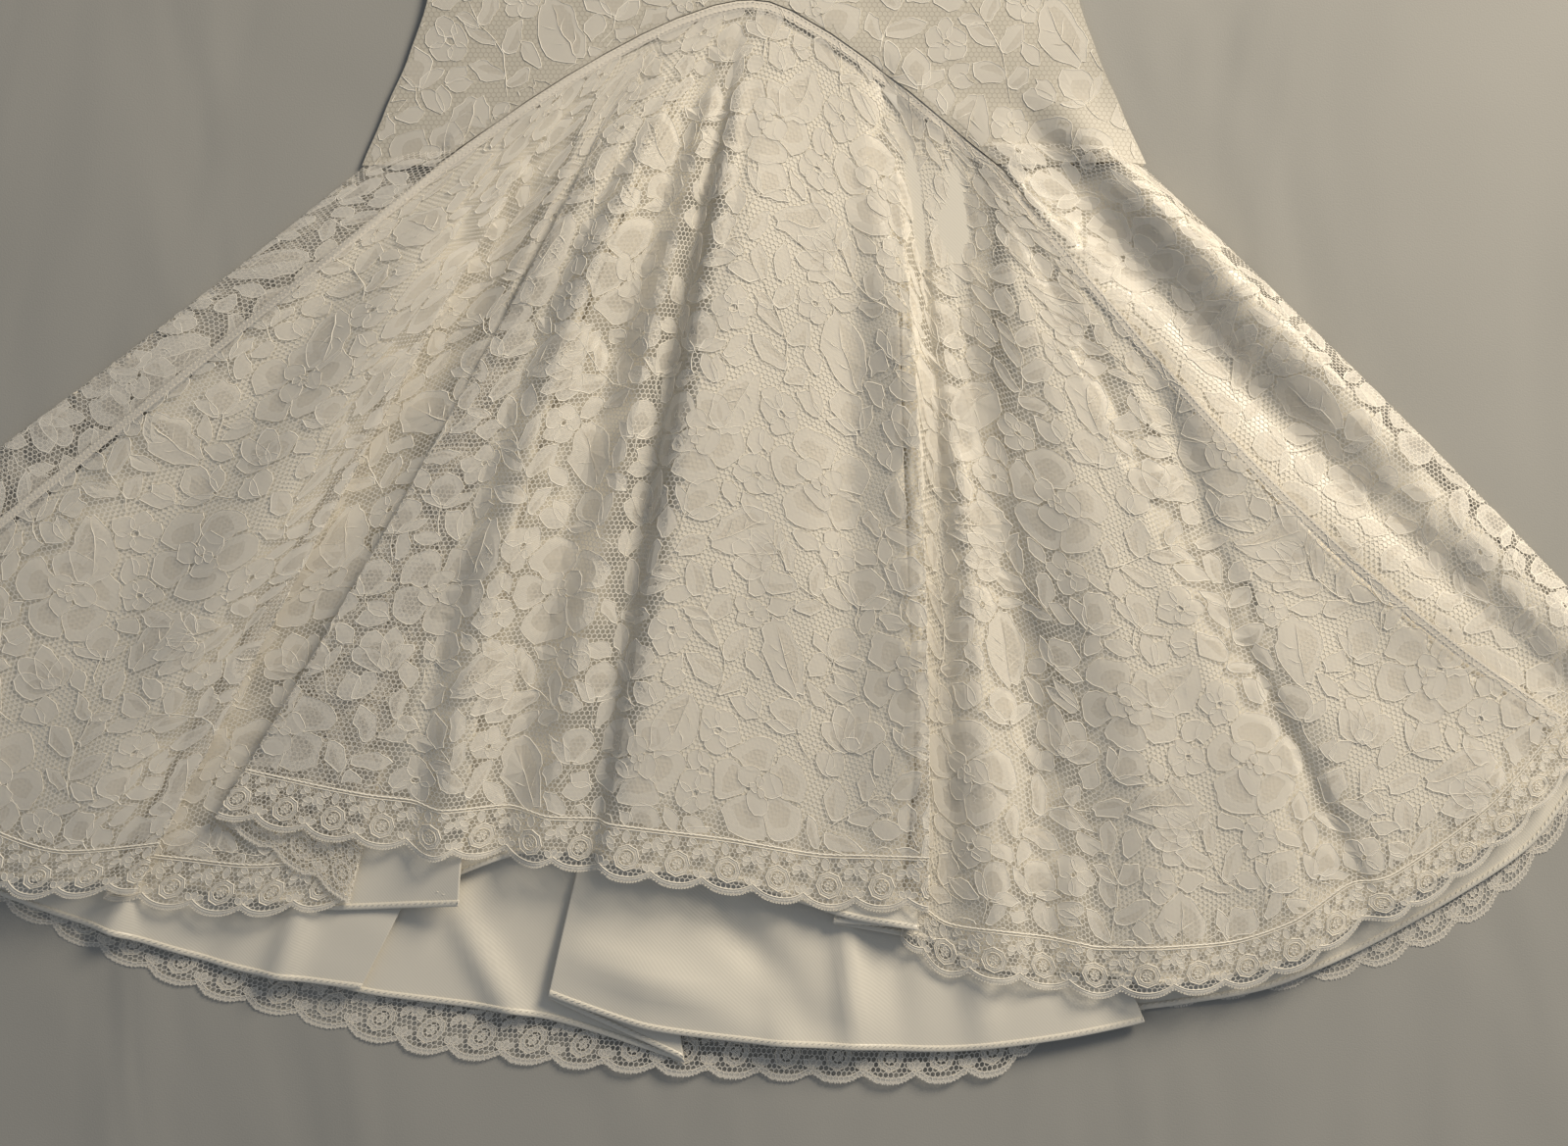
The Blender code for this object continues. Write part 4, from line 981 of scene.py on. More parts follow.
front_satin_cloth = laid_cloth(FRONT_SATIN_FOLDS, satin_seam_y, FRONT_WAY, SATIN_STEP, SATIN_LIFT)
front_satin_points = points_at(front_satin_cloth, even_shares(front_satin_cloth, SATIN_ROWS))
SATIN_EASED_FROM = fold_number(FRONT_SATIN_FOLDS, "upright under")
front_satin_points = shaped(eased(front_satin_points, front_satin_cloth.spots, SATIN_EASED_FROM))
front_satin_cut = flat_cut(front_satin_points)
first_draft = sheet_object("first draft", front_satin_points, front_satin_cut.flat, [satin])
raised = [0.0 if fold.name in OPEN_FOLDS else 1.0 for fold in FRONT_SATIN_FOLDS]
raised = np.interp(front_satin_cloth.spots, range(len(raised)), raised)
roof = mesh_tree(lace_front, lace_back, first_draft)
laces = {"front": mesh_tree(lace_front), "back": mesh_tree(lace_back)}
front_satin_points = raised_below(front_satin_points, roof, raised, laces)
for _ in range(2):
    front_satin_points = raised_below(front_satin_points, roof, np.zeros(len(raised)), laces)
bpy.data.objects.remove(first_draft)
lining_front = sheet_object("lining_front", front_satin_points, front_satin_cut.flat, [satin])

back_satin_cloth = laid_cloth(BACK_SATIN_FOLDS, side_seam_y, BACK_SATIN_WAY, SATIN_STEP, SATIN_LIFT)
back_satin_points = points_at(back_satin_cloth, even_shares(back_satin_cloth, SATIN_ROWS))
back_satin_points = waved(creased(back_satin_points, BACK_SATIN_CREASES), WAVE, BACK_WAVES)
back_satin_cut = flat_cut(back_satin_points)
lining_back = sheet_object("lining_back", back_satin_points, back_satin_cut.flat, [satin])
print_cut(lining_front, front_satin_cut, front_satin_points)
print_cut(lining_back, back_satin_cut, back_satin_points)

# %% [markdown]
# ## The scalloped edging's ground
#
# The edging is a ribbon of lace whose lower edge is woven in shallow arcs that meet in points. Its ground
# is a strip with the fold's own shape, cut along those arcs. Its UV is the straight ribbon that it was
# before it was sewn on, so its net and roses run along the hem.

# %% Edging strips
EDGING_ROWS = 13
SCALLOP_POINT = 2.2  # how steeply an arc turns up towards its point
# How far the front edging's first rows lie above the lace that they are sewn on
SEWN_ON = np.array((0.35, 0.25, 0.1))


def edging_strip(name, cloth, shape, flip=False):
    """The net of an edging, from its seam to its scalloped edge, its number of scallops and its area."""
    hem = along_rows(points_at(cloth, np.ones((1, len(cloth.columns)))))[0]
    scallops = round(hem[-1] / SCALLOP)
    along = hem / hem[-1] * scallops
    rise = SCALLOP_DEPTH * np.abs(2.0 * (along % 1.0) - 1.0) ** SCALLOP_POINT
    top = EDGING_WIDTH + EDGING_LAP
    from_hem = top + (rise - top)[None, :] * np.linspace(0.0, 1.0, EDGING_ROWS)[:, None]
    points = points_at(cloth, 1.0 - from_hem / cloth.lengths)
    points = shape(points, cloth)
    if not flip:
        points[: len(SEWN_ON), :, 2] += SEWN_ON[:, None]
    flat = np.stack([np.broadcast_to((along - scallops / 2.0) * SCALLOP, from_hem.shape), from_hem], axis=2)
    return sheet_object(name, points, flat, [net_lace], flip), scallops, quads_area(flat)


front_edging_cloth = laid_cloth(FRONT_LACE_FOLDS, chevron_y, FRONT_WAY, EDGING_STEP, FRONT_LACE_LIFT)
edging_front, front_scallops, front_edging_area = edging_strip(
    "edging_front", front_edging_cloth, lambda points, cloth: shaped(points))
back_edging_cloth = laid_cloth(BACK_LACE_FOLDS, side_seam_y, BACK_LACE_WAY, EDGING_STEP, 0.0)
edging_back, back_scallops, back_edging_area = edging_strip(
    "edging_back", back_edging_cloth, strip_folds, flip=True)
print("scallops:", front_scallops, "front and", back_scallops, "back")

# %% [markdown]
# ## Flowers and leaves as flat lacework
#
# The figured lace is drawn flat, as a lace maker would, in millimetres. Each petal or leaf is a few rings
# of faces: a raised outline cord, a rim of clothwork that is thickest at the tip, and a heart of close
# net. Real relief, not a picture, because the cords' small shadows are what shows in the photo. The
# flowers, sprays and broad leaves here are ordinary ones, in a layout of their own.

# %% Petals, cords and motifs
CORD, CLOTH, CLOSE_NET = 0, 1, 2


class Flat:
    """A flat piece of lacework: corners (x, y, height) in mm, faces, and a finish for each face."""

    def __init__(self):
        self.corners, self.faces, self.finishes = [], [], []

    def add(self, corners, faces, finishes):
        """Adds faces whose corners are numbered from 0 in their own list."""
        first = len(self.corners)
        self.corners += [tuple(c) for c in corners]
        self.faces += [tuple(first + i for i in face) for face in faces]
        self.finishes += list(finishes)

    def placed(self, other, x, y, turn, size=1.0, mirror=False):
        """Adds a copy of another piece, turned by degrees and moved."""
        c, s = math.cos(math.radians(turn)) * size, math.sin(math.radians(turn)) * size
        flip = -1.0 if mirror else 1.0
        moved = [(x + flip * px * c - py * s, y + flip * px * s + py * c, z) for px, py, z in other.corners]
        faces = [tuple(reversed(f)) for f in other.faces] if mirror else other.faces
        self.add(moved, faces, other.finishes)


def add_petal(flat, x, y, turn, length, width, steps=12, lobes=0, depth=0.0, pointed=0.0, lift=0.0,
              heart=None, other_half=None, heart_size=0.6, shift=-0.1, bend=0.0):
    """A petal or leaf from its foot at x, y: an outline cord, clothwork, and a heart if it has one."""
    sizes = [(1.0, 0.0, 0.0), (1.0 - 0.4 / width, 0.34, 0.0), (1.0 - 0.95 / width, 0.12, 0.0)]
    if heart is not None:
        sizes.append((heart_size, 0.14, shift))
    rings = []
    for size, height, move in sizes:
        ring = []
        for k in range(steps):
            angle = 2 * math.pi * k / steps
            uneven = 0.5 * math.cos((lobes + 2) * angle + 1.0 + length)
            scallop = 1.0 + depth * (math.cos(lobes * angle) + uneven)
            up = math.cos(angle)
            broad = 1.0 + 0.2 * up - pointed * max(up, 0.0) ** 2
            px = width / 2.0 * math.sin(angle) * broad * scallop * size
            py = length * (0.5 + 0.5 * up * scallop * size + move)
            px += bend * length * (py / length) ** 2
            ring.append((px, py, lift + height))
        rings.append(ring)
    py = length * (0.5 + shift)
    middle = (bend * length * (py / length) ** 2, py, lift + 0.12)
    c, s = math.cos(math.radians(turn)), math.sin(math.radians(turn))
    corners = [(x + px * c - py * s, y + px * s + py * c, pz)
               for px, py, pz in [p for ring in rings for p in ring] + [middle]]
    faces, finishes = [], []
    for r in range(len(rings) - 1):
        for k in range(steps):
            a, b = r * steps + k, r * steps + (k + 1) % steps
            faces.append((b, a, a + steps, b + steps))
            finishes.append(CORD if r < 2 else CLOTH)
    last = (len(rings) - 1) * steps
    inside = CLOTH if heart is None else heart
    for k in range(steps):
        faces.append((last + (k + 1) % steps, last + k, len(corners) - 1))
        finishes.append(inside if k < steps / 2 or other_half is None else other_half)
    flat.add(corners, faces, finishes)


def add_cord(flat, points, wide=0.65, height=0.34, thin_end=0.35, finish=CORD):
    """A thin raised cord along points, like a low roof."""
    points = [np.array(p, float) for p in points]
    corners, faces = [], []
    for k, p in enumerate(points):
        ahead = points[min(k + 1, len(points) - 1)] - points[max(k - 1, 0)]
        ahead /= np.linalg.norm(ahead)
        side = np.array((-ahead[1], ahead[0])) * wide / 2.0
        thin = thin_end if k in (0, len(points) - 1) else 1.0
        corners += [(*(p + side * thin), 0.0), (*p, height * thin), (*(p - side * thin), 0.0)]
    for k in range(len(points) - 1):
        a = 3 * k
        faces += [(a, a + 3, a + 4, a + 1), (a + 1, a + 4, a + 5, a + 2)]
    flat.add(corners, [tuple(reversed(f)) for f in faces], [finish] * len(faces))


def curve(start, control, end, steps):
    """Points on an arc that leans towards its control point."""
    a, b, c = (np.array(p, float) for p in (start, control, end))
    return [tuple((1 - t) ** 2 * a + 2 * t * (1 - t) * b + t * t * c) for t in np.linspace(0, 1, steps)]


def around(turn, out):
    """The place at a distance from the middle, turned by degrees from straight up."""
    return -out * math.sin(math.radians(turn)), out * math.cos(math.radians(turn))


def open_rose():
    """A rose seen from above: five broad petals, three inner ones and a small heart."""
    rose = Flat()
    outer_petals = ((20, 27, 31, 9), (95, 24, 27, 9), (168, 28, 30, 8), (238, 25, 29, 9), (308, 27, 27, 9))
    for turn, length, width, out in outer_petals:
        add_petal(rose, *around(turn, out), turn, length, width, 20, 5, 0.05, heart=CLOSE_NET, bend=0.05)
    for turn, length, width in ((60, 15, 17), (182, 16, 18), (300, 15, 17)):
        add_petal(rose, *around(turn, 1.5), turn, length, width, 12, 3, 0.05, lift=0.18, shift=-0.2)
    for turn in (0, 120, 240):
        add_petal(rose, *around(turn, 0.2), turn, 6.5, 6.5, 7, lift=0.36)
    return rose


def round_flower():
    """A small flower of five petals round a ring."""
    flower = Flat()
    for turn, length in ((4, 12.5), (78, 11), (150, 12), (219, 11.5), (291, 11)):
        add_petal(flower, *around(turn, 1.6), turn, length, 13, 11, 3, 0.06)
    ring = [(2.3 * math.cos(t), 2.3 * math.sin(t)) for t in np.linspace(0, 2 * math.pi, 7)]
    add_cord(flower, ring, 0.8, 0.4)
    return flower


def leaf_spray():
    """A bent stem with seven leaves."""
    spray = Flat()
    stem = curve((0, 0), (-12, 34), (8, 70), 10)
    add_cord(spray, stem)
    leaves = ((1, 66, 21, 11, 0.12), (2, -60, 26, 14, -0.1), (4, 52, 27, 14, 0.1), (5, -50, 24, 12, -0.1),
              (7, 38, 22, 12, 0.1), (7, -62, 18, 9, 0.1), (9, -14, 24, 13, -0.08))
    for at, turn, length, width, bend in leaves:
        add_petal(spray, *stem[at], turn, length, width, 14, 5, 0.06, pointed=0.5, heart=CLOTH,
                  other_half=CLOSE_NET, heart_size=0.7, shift=-0.05, bend=bend)
    return spray


def broad_leaf():
    """A large leaf, half clothwork and half net, with its veins."""
    leaf = Flat()
    add_petal(leaf, 0, 0, 0, 50, 30, 24, 9, 0.05, pointed=0.3, heart=CLOSE_NET, other_half=CLOTH,
              heart_size=0.75, shift=0.0, bend=0.12)
    add_cord(leaf, curve((0, 1), (0.5, 22), (5.2, 45), 7), height=0.5)
    for y, way in ((12, 1), (16, -1), (24, 1), (28, -1)):
        add_cord(leaf, curve((0.9, y), (way * 4, y + 2), (way * 9 + 1.5, y + 8), 3), 0.8, 0.45)
    return leaf


def bud():
    """A bud between two leaves on a short stem."""
    shape = Flat()
    add_cord(shape, curve((-3, -18), (4, -8), (0, 3), 5))
    add_petal(shape, 0, 0, 0, 23, 19, 14, 5, 0.06, heart=CLOSE_NET)
    add_petal(shape, -1, -1, 46, 19, 8, 10, 4, 0.05, pointed=0.5, bend=-0.15)
    add_petal(shape, 1, -1, -46, 18, 8, 10, 4, 0.05, pointed=0.5, bend=0.15)
    return shape


def pair():
    """Two small leaves on one foot."""
    two = Flat()
    add_petal(two, 0, 0, 26, 21, 13, 12, 5, 0.07, pointed=0.5, bend=0.15)
    add_petal(two, 0, 0, -30, 18, 12, 12, 4, 0.08, pointed=0.5, bend=-0.15)
    return two


def one_leaf():
    """A single small leaf."""
    leaf = Flat()
    add_petal(leaf, 0, 0, 0, 18, 11, 11, 4, 0.08, pointed=0.5, bend=0.12)
    return leaf


def fan():
    """Four petals spread like a fan."""
    shell = Flat()
    for turn, length in ((52, 24), (18, 29), (-16, 30), (-50, 25)):
        add_petal(shell, 0, 0, turn, length, 15.5, 13, 3, 0.05, heart=CLOSE_NET, shift=-0.12)
    add_petal(shell, 0, -1, 0, 10, 12, 8, lift=0.15)
    return shell


MOTIFS = {"rose": open_rose, "flower": round_flower, "spray": leaf_spray, "leaf": broad_leaf, "bud": bud,
          "pair": pair, "one leaf": one_leaf, "fan": fan}
TILE_WIDTH, TILE_HEIGHT = 168.0, 216.0
# The large motifs, listed one by one: motif, x, y, turn, size, mirrored
LAYOUT = (
    ("rose", 40, 42, 0, 1.0, False),
    ("rose", 122, 150, 70, 0.92, True),
    ("spray", 84, 12, -30, 1.0, False),
    ("spray", 2, 88, 14, 1.0, True),
    ("spray", 66, 176, 62, 0.95, False),
    ("fan", 96, 92, 15, 1.0, False),
    ("fan", 20, 190, 100, 0.95, True),
    ("leaf", 52, 112, 35, 1.0, False),
    ("leaf", 146, 84, -62, 0.95, True),
    ("leaf", 150, 200, 170, 0.95, False),
)
# Small motifs for the ground left bare, the widest first. Room is the radius of bare ground that one
# needs, reach the radius that it fills at size 1, and foot how far its middle lies from its foot.
Filler = namedtuple("Filler", "motif room reach foot largest")
FILLERS = (
    Filler("bud", 15.5, 15.5, 2.5, 1.1),
    Filler("flower", 12.0, 13.0, 0.0, 1.1),
    Filler("pair", 9.4, 11.0, 8.5, 1.0),
    Filler("one leaf", 7.2, 7.6, 8.5, 1.15),
)
FILL_STEP = 2.5  # millimetres between the places that are tried
FILL_TURNS = 12
FILL_CLEAR = 1.2  # a corner nearer than this to another motif counts as touching it
FILL_MARGIN = 30.0  # how much of the neighbouring tiles is taken into account
FILL_MOST = 30
FILL_SWAY = 9.0  # degrees by which a tried turn may differ from an even one
FILL_SEED = 5


def middles_and_corners(tile):
    """Points all over the tile's motifs, on their outlines and inside them."""
    corners = np.array(tile.corners)[:, :2]
    middles = np.array([corners[list(face)].mean(axis=0) for face in tile.faces])
    return np.concatenate([corners, middles])


def ground_search(tile):
    """A search tree of the tile's points and of the neighbouring tiles' near its border."""
    points = middles_and_corners(tile)
    far_corner = (TILE_WIDTH + FILL_MARGIN, TILE_HEIGHT + FILL_MARGIN)
    near = []
    for i in (-1, 0, 1):
        for j in (-2, -1, 0, 1, 2):
            moved = points + (i * TILE_WIDTH, j * TILE_HEIGHT + (i % 2) * TILE_HEIGHT / 2.0)
            inside = np.all((moved > -FILL_MARGIN) & (moved < far_corner), axis=1)
            near.append(moved[inside])
    near = np.concatenate(near)
    search = KDTree(len(near))
    for k, (x, y) in enumerate(near):
        search.insert((x, y, 0.0), k)
    search.balance()
    return search


def fitted(motif, filler, spot, room, search, draws):
    """The turn and foot at which a small motif touches its neighbours least."""
    size = min(room / filler.reach, filler.largest)
    best = None
    for k in range(FILL_TURNS):
        turn = 360.0 * k / FILL_TURNS + draws.uniform(-FILL_SWAY, FILL_SWAY)
        c, s = math.cos(math.radians(turn)), math.sin(math.radians(turn))
        x = spot[0] + filler.foot * size * s
        y = spot[1] - filler.foot * size * c
        touching = 0
        for px, py, _ in motif.corners:
            place = (x + (px * c - py * s) * size, y + (px * s + py * c) * size, 0.0)
            touching += search.find(place)[2] < FILL_CLEAR
        if best is None or touching < best[0]:
            best = (touching, x, y, turn, size)
    return best[1:]


def fill_ground(tile, made, seed):
    """Puts small motifs where the ground is barest, up to FILL_MOST of them, and returns their number."""
    draws = random.Random(seed)
    across, along = np.arange(0.0, TILE_WIDTH, FILL_STEP), np.arange(0.0, TILE_HEIGHT, FILL_STEP)
    spots = [(x, y, 0.0) for y in along for x in across]
    for count in range(FILL_MOST):
        search = ground_search(tile)
        rooms = [search.find(spot)[2] for spot in spots]
        room = max(rooms)
        filler = next((row for row in FILLERS if room > row.room), None)
        if filler is None:
            return count
        spot = spots[rooms.index(room)]
        x, y, turn, size = fitted(made[filler.motif], filler, spot, room, search, draws)
        tile.placed(made[filler.motif], x, y, turn, size, draws.random() < 0.5)
    return FILL_MOST


def lace_tile():
    """One repeat of the lace: the large motifs, and small ones between them."""
    tile = Flat()
    made = {name: make() for name, make in MOTIFS.items()}
    for name, x, y, turn, size, mirror in LAYOUT:
        tile.placed(made[name], x, y, turn, size, mirror)
    small = fill_ground(tile, made, FILL_SEED)
    print("lace repeat:", len(LAYOUT), "large motifs,", small, "small ones,", len(tile.faces), "faces")
    return tile


# %% [markdown]
# ## Laying the lacework on the cloth with Geometry Nodes
#
# Lace repeats: one tile of motifs, again and again in a half-drop, where every other column is shifted by
# half a tile. Geometry Nodes do that in flat cut space, and then drape it: for each point they find the
# same place in the cloth's UV, read the cloth's position and normal there, and lift the point by its own
# relief. A slow noise moves the outlines by a few millimetres, so no two flowers are the same.
# What falls outside the cut is deleted. So flowers follow every fold and keep about their true size.

# %% The drape tree
WOBBLE_LENGTH = 24.0  # millimetres over which the unevenness of hand-guided lacework changes
WOBBLE = 16.0


def geometry_tree(name, inputs):
    """A geometry tree whose inputs have a kind and a first value each, and the inputs' identifiers."""
    tree = bpy.data.node_groups.new(name, "GeometryNodeTree")
    tree.interface.new_socket("Geometry", in_out="OUTPUT", socket_type="NodeSocketGeometry")
    keys = {}
    for label, (kind, value) in {"Geometry": ("Geometry", None), **inputs}.items():
        socket = tree.interface.new_socket(label, in_out="INPUT", socket_type="NodeSocket" + kind)
        if value is not None:
            socket.default_value = value
        keys[label] = socket.identifier
    return tree, keys


def drape_tree(finishes):
    """A tree that repeats flat lacework and drapes it on a cloth, and its inputs' identifiers."""
    tree, keys = geometry_tree("drape lacework", {
        "Cloth": ("Object", None), "Columns": ("Int", 4), "Rows": ("Int", 4), "Tile Width": ("Float", 100.0),
        "Tile Height": ("Float", 100.0), "Drop": ("Float", 0.0), "Lift": ("Float", 0.1),
        "Relief": ("Float", 1.0), "Wobble": ("Float", 0.0)})
    group = add(tree, "NodeGroupInput").outputs

    def maths(operation, a, b=0.0):
        return add(tree, "ShaderNodeMath", {"operation": operation}, {0: a, 1: b}).outputs[0]

    def vector(operation, inputs):
        return add(tree, "ShaderNodeVectorMath", {"operation": operation}, inputs).outputs[0]

    def stored(kind, name):
        return add(tree, "GeometryNodeInputNamedAttribute", {"data_type": kind}, {0: name}).outputs[0]

    wide = maths("MULTIPLY", maths("SUBTRACT", group["Columns"], 1.0), group["Tile Width"])
    high = maths("MULTIPLY", maths("SUBTRACT", group["Rows"], 1.0), group["Tile Height"])
    grid = add(tree, "GeometryNodeMeshGrid", None, {0: wide, 1: high, 2: group["Columns"], 3: group["Rows"]})
    number = add(tree, "GeometryNodeInputIndex").outputs[0]
    column = maths("FLOOR", maths("DIVIDE", number, group["Rows"]))
    shifted = maths("MULTIPLY", maths("MODULO", column, 2.0), group["Drop"])
    drop = maths("MULTIPLY", shifted, group["Tile Height"])
    moved = add(tree, "GeometryNodeSetPosition", None, {
        0: grid.outputs[0], 3: add(tree, "ShaderNodeCombineXYZ", None, {1: drop}).outputs[0]})
    tiles = add(tree, "GeometryNodeInstanceOnPoints", None, {0: moved.outputs[0], 2: group["Geometry"]})
    lacework = add(tree, "GeometryNodeRealizeInstances", None, {0: tiles.outputs[0]})
    cloth = add(tree, "GeometryNodeObjectInfo", None, {0: group["Cloth"]}).outputs["Geometry"]
    place = add(tree, "GeometryNodeInputPosition").outputs[0]
    flat_uv = stored("FLOAT_VECTOR", FLAT_MAP)
    noise = add(tree, "ShaderNodeTexNoise", None, {
        "Vector": place, "Scale": 1.0 / WOBBLE_LENGTH, "Detail": 3.0}).outputs["Color"]
    uneven = vector("SCALE", {0: vector("SUBTRACT", {0: noise, 1: (0.5, 0.5, 0.5)}), 3: group["Wobble"]})
    drawn = vector("ADD", {0: place, 1: uneven})
    wanted = vector("MULTIPLY_ADD", {
        0: drawn, 1: (1.0 / UV_SPAN, 1.0 / UV_SPAN, 0.0), 2: (0.5, 0.5, 0.0)})

    def read(field):
        return add(tree, "GeometryNodeSampleUVSurface", {"data_type": "FLOAT_VECTOR"},
                   {0: cloth, 1: field, 2: flat_uv, 3: wanted}).outputs

    on_cloth = read(place)
    out = read(add(tree, "GeometryNodeInputNormal").outputs[0])
    outside = add(tree, "FunctionNodeBooleanMath", {"operation": "NOT"}, {0: on_cloth[1]}).outputs[0]
    own_relief = add(tree, "ShaderNodeSeparateXYZ", None, {0: place}).outputs[2]
    height = maths("ADD", maths("MULTIPLY", own_relief, group["Relief"]), group["Lift"])
    raised = vector("SCALE", {0: out[0], 3: maths("MULTIPLY", height, MM)})
    target = vector("ADD", {0: on_cloth[0], 1: raised})
    keep = add(tree, "GeometryNodeStoreNamedAttribute", {"data_type": "BOOLEAN", "domain": "POINT"},
               {0: lacework.outputs[0], 2: "outside", 3: outside})
    draped = add(tree, "GeometryNodeSetPosition", None, {0: keep.outputs[0], 2: target})
    result = add(tree, "GeometryNodeDeleteGeometry", {"domain": "POINT"}, {
        0: draped.outputs[0], 1: stored("BOOLEAN", "outside")}).outputs[0]
    finish = stored("INT", "finish")
    for number, material in enumerate(finishes):
        chosen = add(tree, "FunctionNodeCompare", {"data_type": "INT", "operation": "EQUAL"}, {
            2: finish, 3: number}).outputs[0]
        result = add(tree, "GeometryNodeSetMaterial", None, {0: result, 1: chosen, 2: material}).outputs[0]
    add(tree, "NodeGroupOutput", None, {0: result})
    return tree, keys


DRAPE, DRAPE_KEYS = drape_tree(FINISHES)


def made_plain(piece):
    """The piece with its modifiers' result as a plain mesh."""
    graph = bpy.context.evaluated_depsgraph_get()
    mesh = bpy.data.meshes.new_from_object(piece.evaluated_get(graph))
    piece.modifiers.clear()
    piece.data = mesh
    mesh.name = piece.name
    return piece


def remade(piece, tree, keys, values):
    """The piece as a node tree remakes it with these values for the tree's inputs, as a plain mesh."""
    modifier = piece.modifiers.new(tree.name, "NODES")
    modifier.node_group = tree
    for label, value in values.items():
        modifier[keys[label]] = value
    return made_plain(piece)


def drape(name, flat_work, cloth, columns, rows, width, height, drop, lift, relief, wobble=0.0):
    """Repeats flat lacework over a cloth and returns it as a plain mesh."""
    mesh = bpy.data.meshes.new(name)
    mesh.from_pydata(flat_work.corners, [], flat_work.faces)
    mesh.attributes.new("finish", "INT", "FACE").data.foreach_set("value", flat_work.finishes)
    piece = remade(new_object(name, mesh), DRAPE, DRAPE_KEYS, {
        "Cloth": cloth, "Columns": columns, "Rows": rows, "Tile Width": width, "Tile Height": height,
        "Drop": drop, "Lift": lift, "Relief": relief, "Wobble": wobble})
    piece.data.calc_loop_triangles()
    print(name, len(piece.data.loop_triangles), "triangles")
    return piece


TILE = lace_tile()
HALF_DROP = 0.5


def flowers_on(cloth, name, columns, rows, lift, relief):
    """The lace's flowers over a whole cloth."""
    return drape(name, TILE, cloth, columns, rows, TILE_WIDTH, TILE_HEIGHT, HALF_DROP, lift, relief, WOBBLE)


flowers_front = flowers_on(lace_front, "flowers_front", 10, 7, 0.12, 1.0)
flowers_back = flowers_on(lace_back, "flowers_back", 10, 8, 0.1, 0.4)

# %% [markdown]
# ## The edging's roses
#
# One scallop of the edging is a rim of close stitches with a row of tiny loops on its lower edge, a
# crescent of open net, a round rose in a ring, small leaves at its sides, and a band of leaves below the
# line of stitches that joins it to the lace. It is drawn once, 35 mm wide, and the drape tree repeats it
# along each edging.

# %% One scallop, repeated along both edgings
ROSE_Y = 17.0  # the middle of the scallop's rose above its lowest point
ROSE_PETALS = 5
# The leaves round the rose and in the band above it: foot, turn, length and width
Leaf = namedtuple("Leaf", "x y turn length width")
SCALLOP_LEAVES = (
    Leaf(17.5, 8.6, 0, 7.5, 5.5), Leaf(16.6, 9.5, 52, 7.0, 4.4), Leaf(18.4, 9.5, -52, 7.0, 4.4),
    Leaf(-10.2, 20.5, 28, 9.5, 5.4), Leaf(10.4, 21.0, -30, 9.0, 5.2), Leaf(9.3, 25.6, -75, 8.0, 4.6),
    Leaf(-9.0, 25.8, 74, 7.6, 4.6), Leaf(-1.5, 26.4, 12, 9.0, 6.2), Leaf(-16.8, 23.0, -8, 10.5, 6.0),
    Leaf(-13.2, 30.6, -62, 7.5, 4.4), Leaf(5.4, 29.6, -48, 8.0, 5.0), Leaf(13.0, 31.6, 66, 7.0, 4.2),
    Leaf(-7.4, 30.8, 40, 6.8, 4.2),
)


def scallop_rise(x):
    """How far the scallop's edge has run up at x from its middle."""
    return SCALLOP_DEPTH * abs(2.0 * x / SCALLOP) ** SCALLOP_POINT


def add_ring(flat, x, y, radius, wide, height, finish, steps=18, lobes=0, depth=0.0):
    """A round cord, or one with lobes."""
    ring = []
    for k in range(steps + 1):
        angle = 2.0 * math.pi * k / steps
        out = radius * (1.0 + depth * math.cos(lobes * angle))
        ring.append((x + out * math.sin(angle), y + out * math.cos(angle)))
    add_cord(flat, ring, wide, height, 1.0, finish)


def edging_scallop():
    """One scallop of the edging, its lowest point at 0, 0 and its seam 38 mm above."""
    unit = Flat()
    across = np.linspace(-SCALLOP / 2.0, SCALLOP / 2.0, 19)
    add_cord(unit, [(x, scallop_rise(x) + 2.6) for x in across], 3.4, 0.5, 1.0, CLOTH)
    add_cord(unit, [(x, scallop_rise(x) + 4.3) for x in across], 0.8, 0.7, 1.0)
    for x in across[:-1] + SCALLOP / 36.0:
        add_petal(unit, x, scallop_rise(x) + 1.6, 180.0, 1.7, 1.7, 5)
    add_ring(unit, 0.0, ROSE_Y, 6.9, 2.8, 0.5, CLOTH, 24, 8, 0.05)
    add_ring(unit, 0.0, ROSE_Y, 8.4, 0.8, 0.7, CORD, 24, 8, 0.05)
    add_ring(unit, 0.0, ROSE_Y, 5.3, 0.6, 0.6, CORD, 16)
    rose = Flat()
    for k in range(ROSE_PETALS):
        turn = 10 + k * 360 // ROSE_PETALS
        add_petal(rose, *around(turn, 0.6), turn, 3.0, 2.7, 7)
    unit.placed(rose, 0.0, ROSE_Y, 0.0)
    for leaf in SCALLOP_LEAVES:
        add_petal(unit, *leaf, 8, pointed=0.4, bend=0.08)
    add_cord(unit, [(x, 37.5 + 0.25 * math.sin(x * 1.4)) for x in across], 1.1, 0.6, 1.0)
    add_cord(unit, [(x, 35.6) for x in across[::3]], 0.8, 0.4, 1.0)
    return unit


SCALLOP_WORK = edging_scallop()
roses_front = drape(
    "roses_front", SCALLOP_WORK, edging_front, front_scallops, 1, SCALLOP, 1.0, 0.0, 0.15, 1.0)
roses_back = drape(
    "roses_back", SCALLOP_WORK, edging_back, back_scallops, 1, SCALLOP, 1.0, 0.0, 0.05, 0.6)

# %% [markdown]
# ## The fitted part
#
# Above the V the dress is fitted: four panels of lace mounted on satin, with a centre seam and side seams.
# They are cut close to the body, so each is nearly flat when the dress lies down. Each panel is a grid
# between its column table's lower and upper edge, and its flat cut is its plan. The same flowers lie on it.

